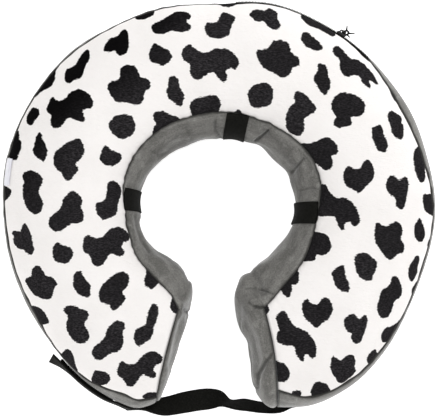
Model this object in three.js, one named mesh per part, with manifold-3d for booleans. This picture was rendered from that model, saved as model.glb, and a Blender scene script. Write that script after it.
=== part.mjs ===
// An inflatable recovery collar for a pet, lying on its back panel with the printed face up.
// Millimetres and degrees, +Z up. The neck's axis is vertical, and the mouth of the C opens towards -Y.
import * as THREE from "three";
import { mergeVertices } from "three/addons/utils/BufferGeometryUtils.js";
import Module from "manifold-3d";

const wasm = await Module();
wasm.setup();

// The inflated ring
const neckRadius = 70; // neck hole at mid height
const rimRadius = 194.5; // outside edge at mid height
const ringHeight = 100; // from the surface it rests on to the crown
const restSag = 2; // the full section would reach this far below that surface
const fullness = 2.25; // 2 is an ellipse, more is squarer
const neckSeamInset = 17; // seam of the printed panel, measured outwards from the neck
const rimSeamInset = 6; // seam of the printed panel, measured inwards from the rim
const rightBulge = 22; // how far each end face stands past its seam
const leftBulge = 8.5;
const rightDroop = 0.2; // how much less they stand out at the rim, as a share
const leftDroop = 0.5;
const bulgeFullness = 2.7;

// Cloth
const plushWall = 2.5;
const velveteenWall = 2;
const seamGap = 0.3;

// Air bladder
const bladderWall = 1;
const bladderClearance = 1.2;

// Webbing
const webbingWidth = 20;
const loopThickness = 1.4;
const loopDent = 1.2; // how far a taut loop presses into the gusset
const loops = [
  { name: "collar_loop_right", at: -1.6 },
  { name: "collar_loop_top", at: 77.5 },
  { name: "collar_loop_left", at: 173 },
];
const strapThickness = 2;
const patchThickness = 1.5;
const lay = 0.3; // gap between a piece and what it lies on

// Zip
const zipFrom = 45; // azimuths
const zipTo = 85;
const chainWidth = 5;
const chainThickness = 1.8;
const chainSink = 1.4; // how much of the chain lies below the cover's surface
const sliderAt = 55;
const sliderLength = 9;
const sliderWidth = 7;
const sliderThickness = 1.4;
const bailLength = 5.6;
const bailHeight = 3.2;
const bailBar = 1;
const bailWidth = 1;

// The thread tied through the slider's bail in place of a pull
const threadRadius = 0.5;
const threadTip = 0.36;
const threadLoop = 1.8; // radius of its loop
const threadTwist = 42; // the loop's turn off the bail's bar, in degrees
const knotRadius = 1.2;
const threadEnds = [
  { length: 4.3, out: 1, along: 0.1, up: 0.15 },
  { length: 5, out: 0.45, along: -0.88, up: 0.1 },
  { length: 3.1, out: 0.3, along: -0.9, up: -0.35 },
];

// Blank side label
const labelAt = 169.5;
const labelLength = 25;
const labelWidth = 13;
const labelThickness = 1;
const labelCells = 4;

// Mesh density
const arcStep = 5.9; // degrees between sections
const gussetCells = 8;
const frontCells = 10;
const backCells = 11;
const domeRings = 4;
const loopCells = 4;
const bladderCells = 15;
const strapSteps = 46;
const patchCells = { round: 6, up: 4 };
const narrowCells = 2;
const threadSides = 6;

// The ring's sections round the neck. neck and rim are shares of the two radii, neckSeam and rimSeam
// are shares of the two insets, height is a share of the ring's, and skew turns the rim side on by degrees.
const sections = [
  { at: -67, neck: 0.887, neckSeam: 1.94, rimSeam: 2.6, rim: 0.945, height: 0.97, skew: -12 },
  { at: -60, neck: 0.858, neckSeam: 1.9, rimSeam: 1.3, rim: 0.996, height: 0.98, skew: -7 },
  { at: -50, neck: 0.845, neckSeam: 1.75, rimSeam: 0.8, rim: 1.014, height: 0.99, skew: -2 },
  { at: -40, neck: 0.863, neckSeam: 1.62, rimSeam: 0.5, rim: 1.004, height: 1, skew: 0 },
  { at: -30, neck: 0.907, neckSeam: 1.43, rimSeam: 0.3, rim: 0.99, height: 1, skew: 0 },
  { at: -15, neck: 0.959, neckSeam: 1.17, rimSeam: 0.3, rim: 0.988, height: 1, skew: 0 },
  { at: 0, neck: 0.999, neckSeam: 1.12, rimSeam: 0.55, rim: 1.013, height: 1, skew: 0 },
  { at: 15, neck: 1.012, neckSeam: 1.37, rimSeam: 1.05, rim: 1.009, height: 1, skew: 0 },
  { at: 30, neck: 1, neckSeam: 1.45, rimSeam: 1.2, rim: 1.004, height: 1, skew: 0 },
  { at: 45, neck: 0.99, neckSeam: 1.33, rimSeam: 0.5, rim: 1.005, height: 1, skew: 0 },
  { at: 60, neck: 0.983, neckSeam: 1.13, rimSeam: 0.12, rim: 0.998, height: 1, skew: 0 },
  { at: 75, neck: 0.971, neckSeam: 1.12, rimSeam: 0.2, rim: 0.997, height: 1, skew: 0 },
  { at: 90, neck: 0.949, neckSeam: 1.16, rimSeam: 0.25, rim: 0.969, height: 0.99, skew: 0 },
  { at: 105, neck: 0.94, neckSeam: 1.14, rimSeam: 0.25, rim: 0.983, height: 1, skew: 0 },
  { at: 120, neck: 0.952, neckSeam: 1.16, rimSeam: 0.2, rim: 0.99, height: 1, skew: 0 },
  { at: 135, neck: 0.97, neckSeam: 1.12, rimSeam: 0.2, rim: 1.006, height: 1, skew: 0 },
  { at: 150, neck: 1, neckSeam: 0.99, rimSeam: 0.2, rim: 1.007, height: 1, skew: 0 },
  { at: 165, neck: 1.014, neckSeam: 0.82, rimSeam: 0.35, rim: 1.004, height: 1, skew: 0 },
  { at: 180, neck: 0.985, neckSeam: 0.66, rimSeam: 0.4, rim: 0.99, height: 1, skew: 0 },
  { at: 195, neck: 0.981, neckSeam: 0.65, rimSeam: 0.3, rim: 0.976, height: 1, skew: 0 },
  { at: 210, neck: 0.931, neckSeam: 0.96, rimSeam: 0.3, rim: 0.97, height: 1, skew: 0 },
  { at: 222, neck: 0.854, neckSeam: 1.23, rimSeam: 0.3, rim: 0.984, height: 1, skew: 0 },
  { at: 232, neck: 0.841, neckSeam: 1.33, rimSeam: 0.5, rim: 0.992, height: 0.99, skew: 0.5 },
  { at: 242, neck: 0.861, neckSeam: 1.43, rimSeam: 1.5, rim: 0.99, height: 0.98, skew: 2.5 },
  { at: 246, neck: 0.898, neckSeam: 1.49, rimSeam: 1.3, rim: 0.978, height: 0.975, skew: 3.7 },
  { at: 250, neck: 0.95, neckSeam: 1.55, rimSeam: 0.65, rim: 0.92, height: 0.97, skew: 5 },
];
const rightEnd = sections[0].at; // the two end seams
const leftEnd = sections.at(-1).at;

// Folds and pinches of the cover. side is a section angle, depth a share of foldDepth, and long and tall are
// how far each runs, in degrees round the neck and up the section.
const foldDepth = 6;
const folds = [
  { at: -65, side: 138, depth: 1, long: 4.5, tall: 14 },
  { at: 252, side: 142, depth: 0.8, long: 4, tall: 14 },
  { at: 59, side: 150, depth: 0.4, long: 3.5, tall: 26 },
  { at: 28, side: 152, depth: 0.4, long: 3.5, tall: 26 },
  { at: 14, side: 150, depth: 0.25, long: 3, tall: 20 },
  { at: 189, side: 155, depth: 0.25, long: 4, tall: 24 },
];

// The slack stretch of the closure strap across the mouth, from the left end to the right end. x and y are
// shares of rimRadius from the neck's axis, and z of ringHeight. lean is the webbing's slope in degrees: 90 is
// on edge, and past 90 its upper edge leans out, to 180 where it lies flat.
const strapSlack = [
  { x: -0.425, y: -0.913, z: 0.46, lean: 98 },
  { x: -0.33, y: -0.92, z: 0.36, lean: 112 },
  { x: -0.235, y: -0.9, z: 0.24, lean: 146 },
  { x: -0.15, y: -0.882, z: 0.23, lean: 164 },
  { x: -0.06, y: -0.868, z: 0.22, lean: 166 },
  { x: 0.005, y: -0.867, z: 0.23, lean: 142 },
  { x: 0.06, y: -0.888, z: 0.24, lean: 110 },
  { x: 0.13, y: -0.893, z: 0.26, lean: 120 },
  { x: 0.21, y: -0.905, z: 0.26, lean: 117 },
  { x: 0.29, y: -0.905, z: 0.24, lean: 115 },
];
// Where it lies on the cover: azimuths, the section angles of its two ends there, and the rows of its route.
const strapLeft = { from: 221.5, to: 240, side: 0, toSide: 0, rows: 6, patchFrom: 223.5 };
const strapRight = { from: -64, to: -52, side: -28, toSide: -40, rows: 3 };
const strapFlare = 4; // how far its free end stands off

const radians = THREE.MathUtils.degToRad;

// A column of the section table at any azimuth, through its rows on a smooth curve.
function along(column, azimuth) {
  const last = sections.length - 1;
  let i = sections.findIndex((row) => row.at > azimuth) - 1;
  if (i < 0) i = azimuth <= sections[0].at ? 0 : last - 1;
  const slope = (k) => {
    const a = sections[Math.max(k - 1, 0)];
    const b = sections[Math.min(k + 1, last)];
    return (b[column] - a[column]) / (b.at - a.at);
  };
  const [a, b] = [sections[i], sections[i + 1]];
  const span = b.at - a.at;
  const u = (azimuth - a.at) / span;
  const [u2, u3] = [u * u, u * u * u];
  return (
    a[column] * (2 * u3 - 3 * u2 + 1) +
    slope(i) * span * (u3 - 2 * u2 + u) +
    b[column] * (3 * u2 - 2 * u3) +
    slope(i + 1) * span * (u3 - u2)
  );
}

// What a section measures at an azimuth, in millimetres.
function sectionAt(azimuth) {
  const neck = neckRadius * along("neck", azimuth);
  const rim = rimRadius * along("rim", azimuth);
  const crown = ringHeight * along("height", azimuth);
  return {
    neck,
    rim,
    middle: (neck + rim) / 2,
    half: (rim - neck) / 2,
    centre: (crown - restSag) / 2,
    rise: (crown + restSag) / 2,
    skew: along("skew", azimuth),
    neckSeam: neckSeamInset * along("neckSeam", azimuth),
    rimSeam: rimSeamInset * along("rimSeam", azimuth),
  };
}

const rounded = (value) => Math.sign(value) * Math.abs(value) ** (2 / fullness);

// Section angle, 0 at the rim, 90 at the crown and 180 at the neck, where the section is inset mm from one side.
const angleOfInset = (inset, half) => Math.acos((1 - inset / half) ** (fullness / 2));

// How far the folds, and the loops drawn tight over the gusset, press the cover in at a place.
function dentAt(azimuth, angle) {
  const side = THREE.MathUtils.radToDeg(angle);
  const drawn = loops.map(({ at }) => ({ at, side: 180, depth: loopDent / foldDepth, long: 9, tall: 45 }));
  const shares = [...folds, ...drawn].map((fold) => {
    const up = (((side - fold.side) % 360) + 540) % 360 - 180;
    return fold.depth * Math.exp(-(((azimuth - fold.at) / fold.long) ** 2) - (up / fold.tall) ** 2);
  });
  return foldDepth * shares.reduce((sum, share) => sum + share, 0);
}

// A point of the cover's outside. angle is a section angle in radians.
function skinPoint(azimuth, angle) {
  const s = sectionAt(azimuth);
  const dent = dentAt(azimuth, angle);
  const across = rounded(Math.cos(angle));
  const radius = s.middle + (s.half - dent) * across;
  const turn = radians(azimuth + (s.skew * across) / 2);
  const z = Math.max(0, s.centre + (s.rise - dent) * rounded(Math.sin(angle)));
  return new THREE.Vector3(radius * Math.cos(turn), radius * Math.sin(turn), z);
}

// The cover's outward normal and the two directions along it, round the neck and up the section.
function skinFrame(azimuth, angle) {
  const d = 0.02;
  const round = skinPoint(azimuth + d, angle).sub(skinPoint(azimuth - d, angle)).normalize();
  const up = skinPoint(azimuth, angle + d).sub(skinPoint(azimuth, angle - d)).normalize();
  const out = new THREE.Vector3().crossVectors(round, up).normalize();
  return { point: skinPoint(azimuth, angle), round, up, out };
}

// How far the section angle turns over a length measured up the section.
function turnFor(azimuth, angle, length) {
  const d = 0.01;
  return (2 * d * length) / skinPoint(azimuth, angle + d).distanceTo(skinPoint(azimuth, angle - d));
}

// Half the slit between the printed panel and the back panel at the rim, which the zip's chain fills.
const slitHalf = (azimuth) => (azimuth >= zipFrom && azimuth <= zipTo ? chainWidth / 2 + seamGap : seamGap / 2);

// The section angles of the seams, and what each cloth piece leaves free there for its half of the gap.
function seamAngles(azimuth) {
  const s = sectionAt(azimuth);
  const neck = Math.PI - angleOfInset(s.neckSeam, s.half);
  const rim = angleOfInset(s.rimSeam, s.half);
  const neckTrim = turnFor(azimuth, neck, seamGap / 2);
  const rimTrim = turnFor(azimuth, rim, slitHalf(azimuth));
  return { neck, rim, neckTrim, rimTrim };
}

const spread = (from, to, cells) => Array.from({ length: cells + 1 }, (_, i) => from + ((to - from) * i) / cells);

// The azimuths where sections are cut: even steps, and some that are named.
function azimuths(from, to, step, named = []) {
  const even = spread(from, to, Math.round((to - from) / step));
  const kept = even.filter((a) => named.every((n) => Math.abs(a - n) > step / 3));
  return [...new Set([from, ...kept, ...named, to])].sort((a, b) => a - b);
}
const slitTaper = 1; // degrees over which the zip's slit opens
const slitEnds = [zipFrom - slitTaper, zipFrom, zipTo, zipTo + slitTaper];
const stations = azimuths(rightEnd, leftEnd, arcStep, slitEnds);
const endTrim = THREE.MathUtils.radToDeg(seamGap / ((neckRadius + rimRadius) / 2));
const panelStations = stations.map((a) => THREE.MathUtils.clamp(a, rightEnd + endTrim, leftEnd - endTrim));

// An open surface: places shared by position, and triangles that face out. A place is a point, and its outward
// normal where the cover gives it, so that pieces that share a seam are thickened the same way there.
class Surface {
  constructor() {
    this.places = [];
    this.triangles = [];
    this.known = new Map();
  }

  add(place) {
    const key = place.point.toArray().map((x) => Math.round(x * 1000)).join();
    if (!this.known.has(key)) {
      this.known.set(key, this.places.length);
      this.places.push(place);
    }
    return this.known.get(key);
  }

  triangle(a, b, c) {
    if (a !== b && b !== c && a !== c) this.triangles.push([a, b, c]);
  }

  // rows of places: the first direction crossed with the second faces out
  grid(rows, skip = () => false) {
    const ids = rows.map((row) => row.map((p) => this.add(p)));
    for (let i = 0; i + 1 < ids.length; i++) {
      for (let j = 0; j + 1 < ids[i].length; j++) {
        if (skip(i, j)) continue;
        const [a, b, c, d] = [ids[i][j], ids[i + 1][j], ids[i + 1][j + 1], ids[i][j + 1]];
        this.triangle(a, b, c);
        this.triangle(a, c, d);
      }
    }
    return this;
  }

  normals() {
    const sums = this.places.map(() => new THREE.Vector3());
    for (const t of this.triangles) {
      const [a, b, c] = t.map((i) => this.places[i].point);
      const face = new THREE.Vector3().crossVectors(b.clone().sub(a), c.clone().sub(a));
      t.forEach((i) => sums[i].add(face));
    }
    return sums.map((sum, i) => this.places[i].out ?? sum.normalize());
  }

  // The solid between this surface moved out by two distances.
  solid(outer, inner) {
    const normals = this.normals();
    const count = this.places.length;
    const moved = (distance) => this.places.map((p, i) => p.point.clone().addScaledVector(normals[i], distance));
    const all = [...moved(outer), ...moved(inner)];
    const sides = new Map();
    const faces = [];
    for (const [a, b, c] of this.triangles) {
      faces.push([a, b, c], [a + count, c + count, b + count]);
      for (const [from, to] of [[a, b], [b, c], [c, a]]) {
        if (!sides.delete(`${to},${from}`)) sides.set(`${from},${to}`, [from, to]);
      }
    }
    for (const [from, to] of sides.values()) {
      faces.push([from, from + count, to + count], [from, to + count, to]);
    }
    const geometry = new THREE.BufferGeometry();
    geometry.setAttribute("position", new THREE.Float32BufferAttribute(all.flatMap((p) => p.toArray()), 3));
    geometry.setIndex(faces.flat());
    return geometry;
  }
}

// A strip of the cover between two section angles, which may change with the azimuth.
function strip(places, from, to, cells) {
  const row = (azimuth) => spread(from(azimuth), to(azimuth), cells).map((angle) => skinFrame(azimuth, angle));
  return places.map(row);
}

// The rounded face that closes the ring past an end seam: rings of a section that shrink as they stand out,
// less so towards the rim, in the order that faces out.
function dome(ring, { at: azimuth, side, bulge, droop }) {
  const [rim, neck] = [skinPoint(azimuth, 0), skinPoint(azimuth, Math.PI)];
  const centre = rim.clone().add(neck).divideScalar(2).setZ(sectionAt(azimuth).centre);
  const across = rim.clone().sub(neck).normalize();
  const out = new THREE.Vector3(-across.y, across.x, 0).multiplyScalar(side);
  const rows = Array.from({ length: domeRings }, (_, k) => {
    const angle = (Math.PI / 2) * ((k + 1) / domeRings);
    const shrink = k + 1 === domeRings ? 0 : Math.cos(angle) ** (2 / bulgeFullness);
    const advance = bulge * Math.sin(angle) ** (2 / bulgeFullness);
    return ring.map(({ point: corner }) => {
      const point = corner.clone().sub(centre).multiplyScalar(shrink).add(centre);
      const toRim = point.clone().sub(neck).dot(across) / rim.distanceTo(neck);
      return { point: point.addScaledVector(out, advance * (1 - droop * toRim)) };
    });
  });
  return side > 0 ? [ring, ...rows] : [ring, ...rows].reverse();
}

// Each end of the ring: its azimuth, the way out of it, and how its face bulges.
const ends = [
  { at: rightEnd, side: -1, bulge: rightBulge, droop: rightDroop },
  { at: leftEnd, side: 1, bulge: leftBulge, droop: leftDroop },
];

const gussetFrom = (a) => seamAngles(a).neck + seamAngles(a).neckTrim;
const gussetTo = (a) => 2 * Math.PI - seamAngles(a).neck - seamAngles(a).neckTrim;

function frontPanel() {
  const from = (a) => seamAngles(a).rim + seamAngles(a).rimTrim;
  const to = (a) => seamAngles(a).neck - seamAngles(a).neckTrim;
  return new Surface().grid(strip(panelStations, from, to, frontCells)).solid(0, -plushWall);
}

function backPanel() {
  const from = (a) => 2 * Math.PI - seamAngles(a).neck + seamAngles(a).neckTrim;
  const to = (a) => 2 * Math.PI + seamAngles(a).rim - seamAngles(a).rimTrim;
  return new Surface().grid(strip(panelStations, from, to, backCells)).solid(0, -velveteenWall);
}

// One strip round the neck that runs on over both end faces.
function neckGusset() {
  const surface = new Surface().grid(strip(stations, gussetFrom, gussetTo, gussetCells));
  for (const end of ends) {
    const inner = spread(gussetFrom(end.at), gussetTo(end.at), gussetCells);
    const outer = spread(gussetTo(end.at), gussetFrom(end.at) + 2 * Math.PI, frontCells + backCells);
    const ring = [...inner, ...outer.slice(1)].map((angle) => skinFrame(end.at, angle));
    surface.grid(dome(ring, end));
  }
  return surface.solid(0, -velveteenWall);
}

// The bladder fills the cover. One cell is left open at the zip for its valve.
function airBladder() {
  const places = azimuths(rightEnd, leftEnd, 2 * arcStep);
  const angles = spread(0, 2 * Math.PI, bladderCells);
  const rows = places.map((azimuth) => angles.map((angle) => skinFrame(azimuth, angle)));
  const valve = places.findIndex((azimuth) => azimuth > sliderAt);
  const surface = new Surface().grid(rows, (i, j) => i === valve && j === 0);
  for (const end of ends) {
    const ring = angles.map((angle) => skinFrame(end.at, angle));
    surface.grid(dome(ring, end));
  }
  const depth = plushWall + bladderClearance;
  return surface.solid(-depth, -depth - bladderWall);
}

// A webbing loop sewn into both neck seams and drawn tight over the gusset.
function collarLoop(azimuth) {
  const offsets = spread(-webbingWidth / 2, webbingWidth / 2, loopCells);
  const angles = spread(gussetFrom(azimuth), gussetTo(azimuth), gussetCells);
  const rows = offsets.map((offset) =>
    angles.map((angle) => {
      const { point } = skinFrame(azimuth, angle);
      const turn = THREE.MathUtils.radToDeg(offset / Math.hypot(point.x, point.y));
      return skinFrame(azimuth + turn, angle);
    }),
  );
  return new Surface().grid(rows).solid(lay + loopThickness, lay);
}

// The strap's route: fastened on the left arm's rim, slack across the mouth, sewn under the right arm.
function strapRoute() {
  const held = (arm, lift) =>
    spread(arm.from, arm.to, arm.rows).map((azimuth, i) => {
      const side = THREE.MathUtils.lerp(arm.side, arm.toSide, i / arm.rows);
      const { point, up, out } = skinFrame(azimuth, radians(side));
      const flare = arm === strapLeft && i === 0 ? strapFlare : 0;
      return { point: point.addScaledVector(out, lift + strapThickness / 2 + flare), across: up };
    });
  const slack = strapSlack.map((row) => ({
    point: new THREE.Vector3(row.x * rimRadius, row.y * rimRadius, row.z * ringHeight),
    across: new THREE.Vector3(0, Math.cos(radians(row.lean)), Math.sin(radians(row.lean))),
  }));
  const chordRise = webbingWidth ** 2 / (4 * ringHeight); // flat webbing on a section of half the ring's height
  return [
    ...held(strapLeft, patchThickness + 2 * lay),
    ...slack,
    ...held(strapRight, lay + chordRise),
  ];
}

// Webbing carried along the route, its width held to the lean of each row.
function closureStrap() {
  const route = strapRoute();
  const line = new THREE.CatmullRomCurve3(route.map((r) => r.point), false, "centripetal");
  const lean = new THREE.CatmullRomCurve3(route.map((r) => r.across.clone().multiplyScalar(webbingWidth)));
  const half = { across: webbingWidth / 2, through: strapThickness / 2 };
  const rows = Array.from({ length: strapSteps + 1 }, (_, i) => {
    const at = i / strapSteps;
    const point = line.getPoint(at);
    const across = lean.getPoint(at).normalize();
    const through = new THREE.Vector3().crossVectors(line.getTangent(at), across).normalize();
    const edge = new THREE.Vector3().crossVectors(through, line.getTangent(at)).normalize();
    return [[-1, -1], [1, -1], [1, 1], [-1, 1]].map(([a, b]) =>
      point.clone().addScaledVector(edge, a * half.across).addScaledVector(through, b * half.through),
    );
  });
  const last = 4 * strapSteps;
  const faces = [[0, 2, 1], [0, 3, 2], [last, last + 1, last + 2], [last, last + 2, last + 3]];
  for (let i = 0; i < strapSteps; i++) {
    for (let j = 0; j < 4; j++) {
      const [a, b] = [4 * i + j, 4 * i + ((j + 1) % 4)];
      faces.push([a, b, b + 4], [a, b + 4, a + 4]);
    }
  }
  const geometry = new THREE.BufferGeometry();
  geometry.setAttribute("position", new THREE.Float32BufferAttribute(rows.flat().flatMap((p) => p.toArray()), 3));
  geometry.setIndex(faces.flat());
  return geometry;
}

// A thin plate that follows the cover along a line of section angles, from below it to above it, both measured
// up the section.
function platePiece(places, line, below, above, cells, lift, thickness) {
  const from = (azimuth) => line(azimuth) + turnFor(azimuth, line(azimuth), below);
  const to = (azimuth) => line(azimuth) + turnFor(azimuth, line(azimuth), above);
  return new Surface().grid(strip(places, from, to, cells)).solid(lift + thickness, lift);
}

// The hook patch on the left arm that the strap's end is pressed on.
function strapPatch() {
  const places = spread(strapLeft.patchFrom, strapLeft.to, patchCells.round);
  const line = () => radians(strapLeft.side);
  return platePiece(places, line, -webbingWidth / 2, webbingWidth / 2, patchCells.up, lay, patchThickness);
}

const rimSeamLine = (azimuth) => seamAngles(azimuth).rim;

function zipChain() {
  const end = THREE.MathUtils.radToDeg(seamGap / rimRadius);
  const places = azimuths(zipFrom + end, zipTo - end, arcStep);
  return platePiece(places, rimSeamLine, -chainWidth / 2, chainWidth / 2, narrowCells, -chainSink, chainThickness);
}

function sideLabel() {
  const half = THREE.MathUtils.radToDeg(labelLength / 2 / rimRadius);
  const places = spread(labelAt - half, labelAt + half, labelCells);
  return platePiece(places, rimSeamLine, seamGap, labelWidth, narrowCells, lay, labelThickness);
}

// A three.js geometry as a manifold-3d solid and back.
function toSolid(geometry) {
  const bare = geometry.clone().deleteAttribute("normal").deleteAttribute("uv");
  const merged = mergeVertices(bare, 1e-4);
  const vertProperties = merged.attributes.position.array;
  const triVerts = new Uint32Array(merged.index.array);
  return new wasm.Manifold(new wasm.Mesh({ numProp: 3, vertProperties, triVerts }));
}

function toGeometry(solid) {
  const mesh = solid.getMesh();
  const geometry = new THREE.BufferGeometry();
  geometry.setAttribute("position", new THREE.Float32BufferAttribute(mesh.vertProperties, 3));
  geometry.setIndex(Array.from(mesh.triVerts));
  return geometry;
}

// The outline of a plate with round ends, along x.
function roundEnded(length, width) {
  const radius = width / 2;
  const half = length / 2 - radius;
  const shape = new THREE.Shape();
  shape.absarc(half, 0, radius, -Math.PI / 2, Math.PI / 2);
  shape.absarc(-half, 0, radius, Math.PI / 2, Math.PI * 1.5);
  return shape;
}

// The slider: a plate over the chain, with its bail. x runs along the chain, z outwards.
function zipSlider() {
  const plate = new THREE.ExtrudeGeometry(roundEnded(sliderLength, sliderWidth), {
    depth: sliderThickness,
    bevelEnabled: false,
    curveSegments: threadSides,
  });
  plate.translate(0, 0, -sliderThickness);
  const foot = sliderThickness / 2; // how deep the bail's feet stand in the plate
  const arch = new THREE.BoxGeometry(bailLength, bailWidth, bailHeight + foot);
  arch.translate(0, 0, (bailHeight - foot) / 2);
  const window = new THREE.BoxGeometry(bailLength - 2 * bailBar, 2 * bailWidth, bailHeight - bailBar);
  window.translate(0, 0, (bailHeight - bailBar) / 2);
  return toGeometry(toSolid(arch).subtract(toSolid(window)).add(toSolid(plate)));
}

const geometryUp = new THREE.Vector3(0, 1, 0); // the way a three.js cylinder runs

// A loop of thread round the bail's bar, fused with its knot and loose ends.
function pullThread() {
  const middle = bailHeight - bailBar / 2;
  const loop = new THREE.TorusGeometry(threadLoop, threadRadius, threadSides, 2 * threadSides);
  loop.rotateX(Math.PI / 2).rotateZ(radians(90 - threadTwist)).translate(0, 0, middle);
  const knot = new THREE.Vector3(0, 0, middle + threadLoop);
  const ball = new THREE.IcosahedronGeometry(knotRadius, 1).translate(knot.x, knot.y, knot.z);
  const ends = threadEnds.map((end) => {
    const way = new THREE.Vector3(end.along, end.up, end.out).normalize();
    const geometry = new THREE.CylinderGeometry(threadTip, threadRadius, end.length, threadSides);
    geometry.translate(0, end.length / 2, 0);
    geometry.applyQuaternion(new THREE.Quaternion().setFromUnitVectors(geometryUp, way));
    return toSolid(geometry.translate(knot.x, knot.y, knot.z));
  });
  return toGeometry(ends.reduce((sum, end) => sum.add(end), toSolid(loop).add(toSolid(ball))));
}

// Places a small group on the cover, x along the seam and z outwards, a distance above the surface.
function placeOnSeam(object, azimuth, lift) {
  const { point, round, out } = skinFrame(azimuth, rimSeamLine(azimuth));
  const square = new THREE.Vector3().crossVectors(out, round);
  object.quaternion.setFromRotationMatrix(new THREE.Matrix4().makeBasis(round, square, out));
  object.position.copy(point).addScaledVector(out, lift);
  return object;
}

const finishes = {
  plush: new THREE.MeshStandardMaterial({ color: 0xf0ece8, roughness: 0.95, metalness: 0 }),
  velveteen: new THREE.MeshStandardMaterial({ color: 0x6d6d69, roughness: 0.9, metalness: 0 }),
  webbing: new THREE.MeshStandardMaterial({ color: 0x1a1a18, roughness: 0.75, metalness: 0 }),
  film: new THREE.MeshStandardMaterial({ color: 0xd8dde0, roughness: 0.35, metalness: 0 }),
  enamel: new THREE.MeshStandardMaterial({ color: 0x101010, roughness: 0.35, metalness: 0.6 }),
  satin: new THREE.MeshStandardMaterial({ color: 0xf4f4f6, roughness: 0.6, metalness: 0 }),
};

function piece(name, geometry, finish) {
  const mesh = new THREE.Mesh(geometry, finishes[finish]);
  mesh.name = name;
  return mesh;
}

const collar = new THREE.Group();
collar.add(
  piece("front_panel", frontPanel(), "plush"),
  piece("back_panel", backPanel(), "velveteen"),
  piece("neck_gusset", neckGusset(), "velveteen"),
  piece("air_bladder", airBladder(), "film"),
  piece("closure_strap", closureStrap(), "webbing"),
  piece("strap_patch", strapPatch(), "webbing"),
  piece("zip_chain", zipChain(), "webbing"),
  piece("side_label", sideLabel(), "satin"),
);

for (const { name, at } of loops) collar.add(piece(name, collarLoop(at), "webbing"));

const slider = new THREE.Group();
slider.add(piece("zip_slider", zipSlider(), "enamel"), piece("pull_thread", pullThread(), "webbing"));
collar.add(placeOnSeam(slider, sliderAt, chainThickness - chainSink + lay + sliderThickness));

// The origin is under the middle of the whole collar, on the surface it rests on.
const whole = new THREE.Box3().setFromObject(collar);
const middle = whole.getCenter(new THREE.Vector3());
collar.position.set(-middle.x, -middle.y, -whole.min.z);

const part = new THREE.Group();
part.add(collar);
export default part;
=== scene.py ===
import math

import bmesh
import bpy
import numpy as np
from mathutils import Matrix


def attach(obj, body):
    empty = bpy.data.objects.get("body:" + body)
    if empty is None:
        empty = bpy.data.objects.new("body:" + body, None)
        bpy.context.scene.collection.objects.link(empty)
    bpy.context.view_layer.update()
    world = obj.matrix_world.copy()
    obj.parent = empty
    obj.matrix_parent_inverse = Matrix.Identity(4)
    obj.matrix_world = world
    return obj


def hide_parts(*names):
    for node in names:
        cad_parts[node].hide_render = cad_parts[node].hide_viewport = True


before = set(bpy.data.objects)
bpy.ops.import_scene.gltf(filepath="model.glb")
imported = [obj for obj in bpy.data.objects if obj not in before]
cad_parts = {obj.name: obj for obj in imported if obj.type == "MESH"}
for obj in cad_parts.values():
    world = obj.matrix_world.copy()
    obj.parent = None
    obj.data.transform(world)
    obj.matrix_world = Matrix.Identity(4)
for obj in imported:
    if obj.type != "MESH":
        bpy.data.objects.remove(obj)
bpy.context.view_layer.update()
print("stage: frame loaded")

# The camera stands almost straight above. One unit of its picture is view["unit"] metres at the target.
view = {"elevation": 87, "distance": 2.2, "target": (-0.00064, 0.0007, 0.05), "unit": 0.0009, "width": 437,
        "height": 417, "sensor": 36, "reach": 20}


def makeCamera():
    # The lens is as much longer than the sensor is wide as the target is further than the picture is wide.
    tilt = math.radians(view["elevation"])
    data = bpy.data.cameras.new("camera")
    camera = bpy.data.objects.new("camera", data)
    bpy.context.scene.collection.objects.link(camera)
    x, y, z = view["target"]
    camera.location = (x, y - view["distance"] * math.cos(tilt), z + view["distance"] * math.sin(tilt))
    camera.rotation_euler = (math.pi / 2 - tilt, 0, 0)
    data.sensor_width = view["sensor"]
    data.lens = view["sensor"] * view["distance"] / (view["width"] * view["unit"])
    data.clip_end = view["reach"]
    bpy.context.scene.camera = camera


def onPicture(points):
    # Where the camera sees points, in picture units from the top left corner: the offset from the target,
    # turned to the camera's right and up, and divided by its distance.
    tilt = math.radians(view["elevation"])
    offset = points - np.array(view["target"])
    depth = view["distance"] - offset @ np.array([0, -math.cos(tilt), math.sin(tilt)])
    x = offset @ np.array([1.0, 0, 0]) / depth * view["distance"] / view["unit"]
    y = offset @ np.array([0, math.sin(tilt), math.cos(tilt)]) / depth * view["distance"] / view["unit"]
    return np.stack([view["width"] / 2 + x, view["height"] / 2 - y], -1)


# Nodes of a material. An input's value is a number, a colour or another node's output.
def addNode(tree, kind, inputs=None, settings=None):
    made = tree.nodes.new("ShaderNode" + kind)
    for key, value in (settings or {}).items():
        setattr(made, key, value)
    for key, value in (inputs or {}).items():
        if isinstance(value, bpy.types.NodeSocket):
            tree.links.new(value, made.inputs[key])
        else:
            made.inputs[key].default_value = value
    return made


def calc(tree, operation, first, second=0.0):
    # One step of arithmetic.
    return addNode(tree, "Math", {0: first, 1: second}, {"operation": operation}).outputs[0]


def times(tree, first, second):
    # A product.
    return calc(tree, "MULTIPLY", first, second)


def plus(tree, first, second):
    # A sum.
    return calc(tree, "ADD", first, second)


def mixColour(tree, factor, first, second):
    # The first colour where the factor is 0, the second where it is 1.
    made = addNode(tree, "Mix", {0: factor, 6: first, 7: second}, {"data_type": "RGBA"})
    return made.outputs[2]


def spread(tree, value, low, high, toLow=0.0, toHigh=1.0):
    # A smooth step between two levels as the value passes from low to high.
    limits = {"Value": value, "From Min": low, "From Max": high, "To Min": toLow, "To Max": toHigh}
    return addNode(tree, "MapRange", limits, {"interpolation_type": "SMOOTHSTEP"}).outputs[0]


def noise(tree, vector, scale, detail=2.0, rough=0.5):
    # Soft noise from 0 to 1. scale is its count of grains to the metre.
    inputs = {"Vector": vector, "Scale": scale, "Detail": detail, "Roughness": rough}
    return addNode(tree, "TexNoise", inputs).outputs[0]


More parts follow.
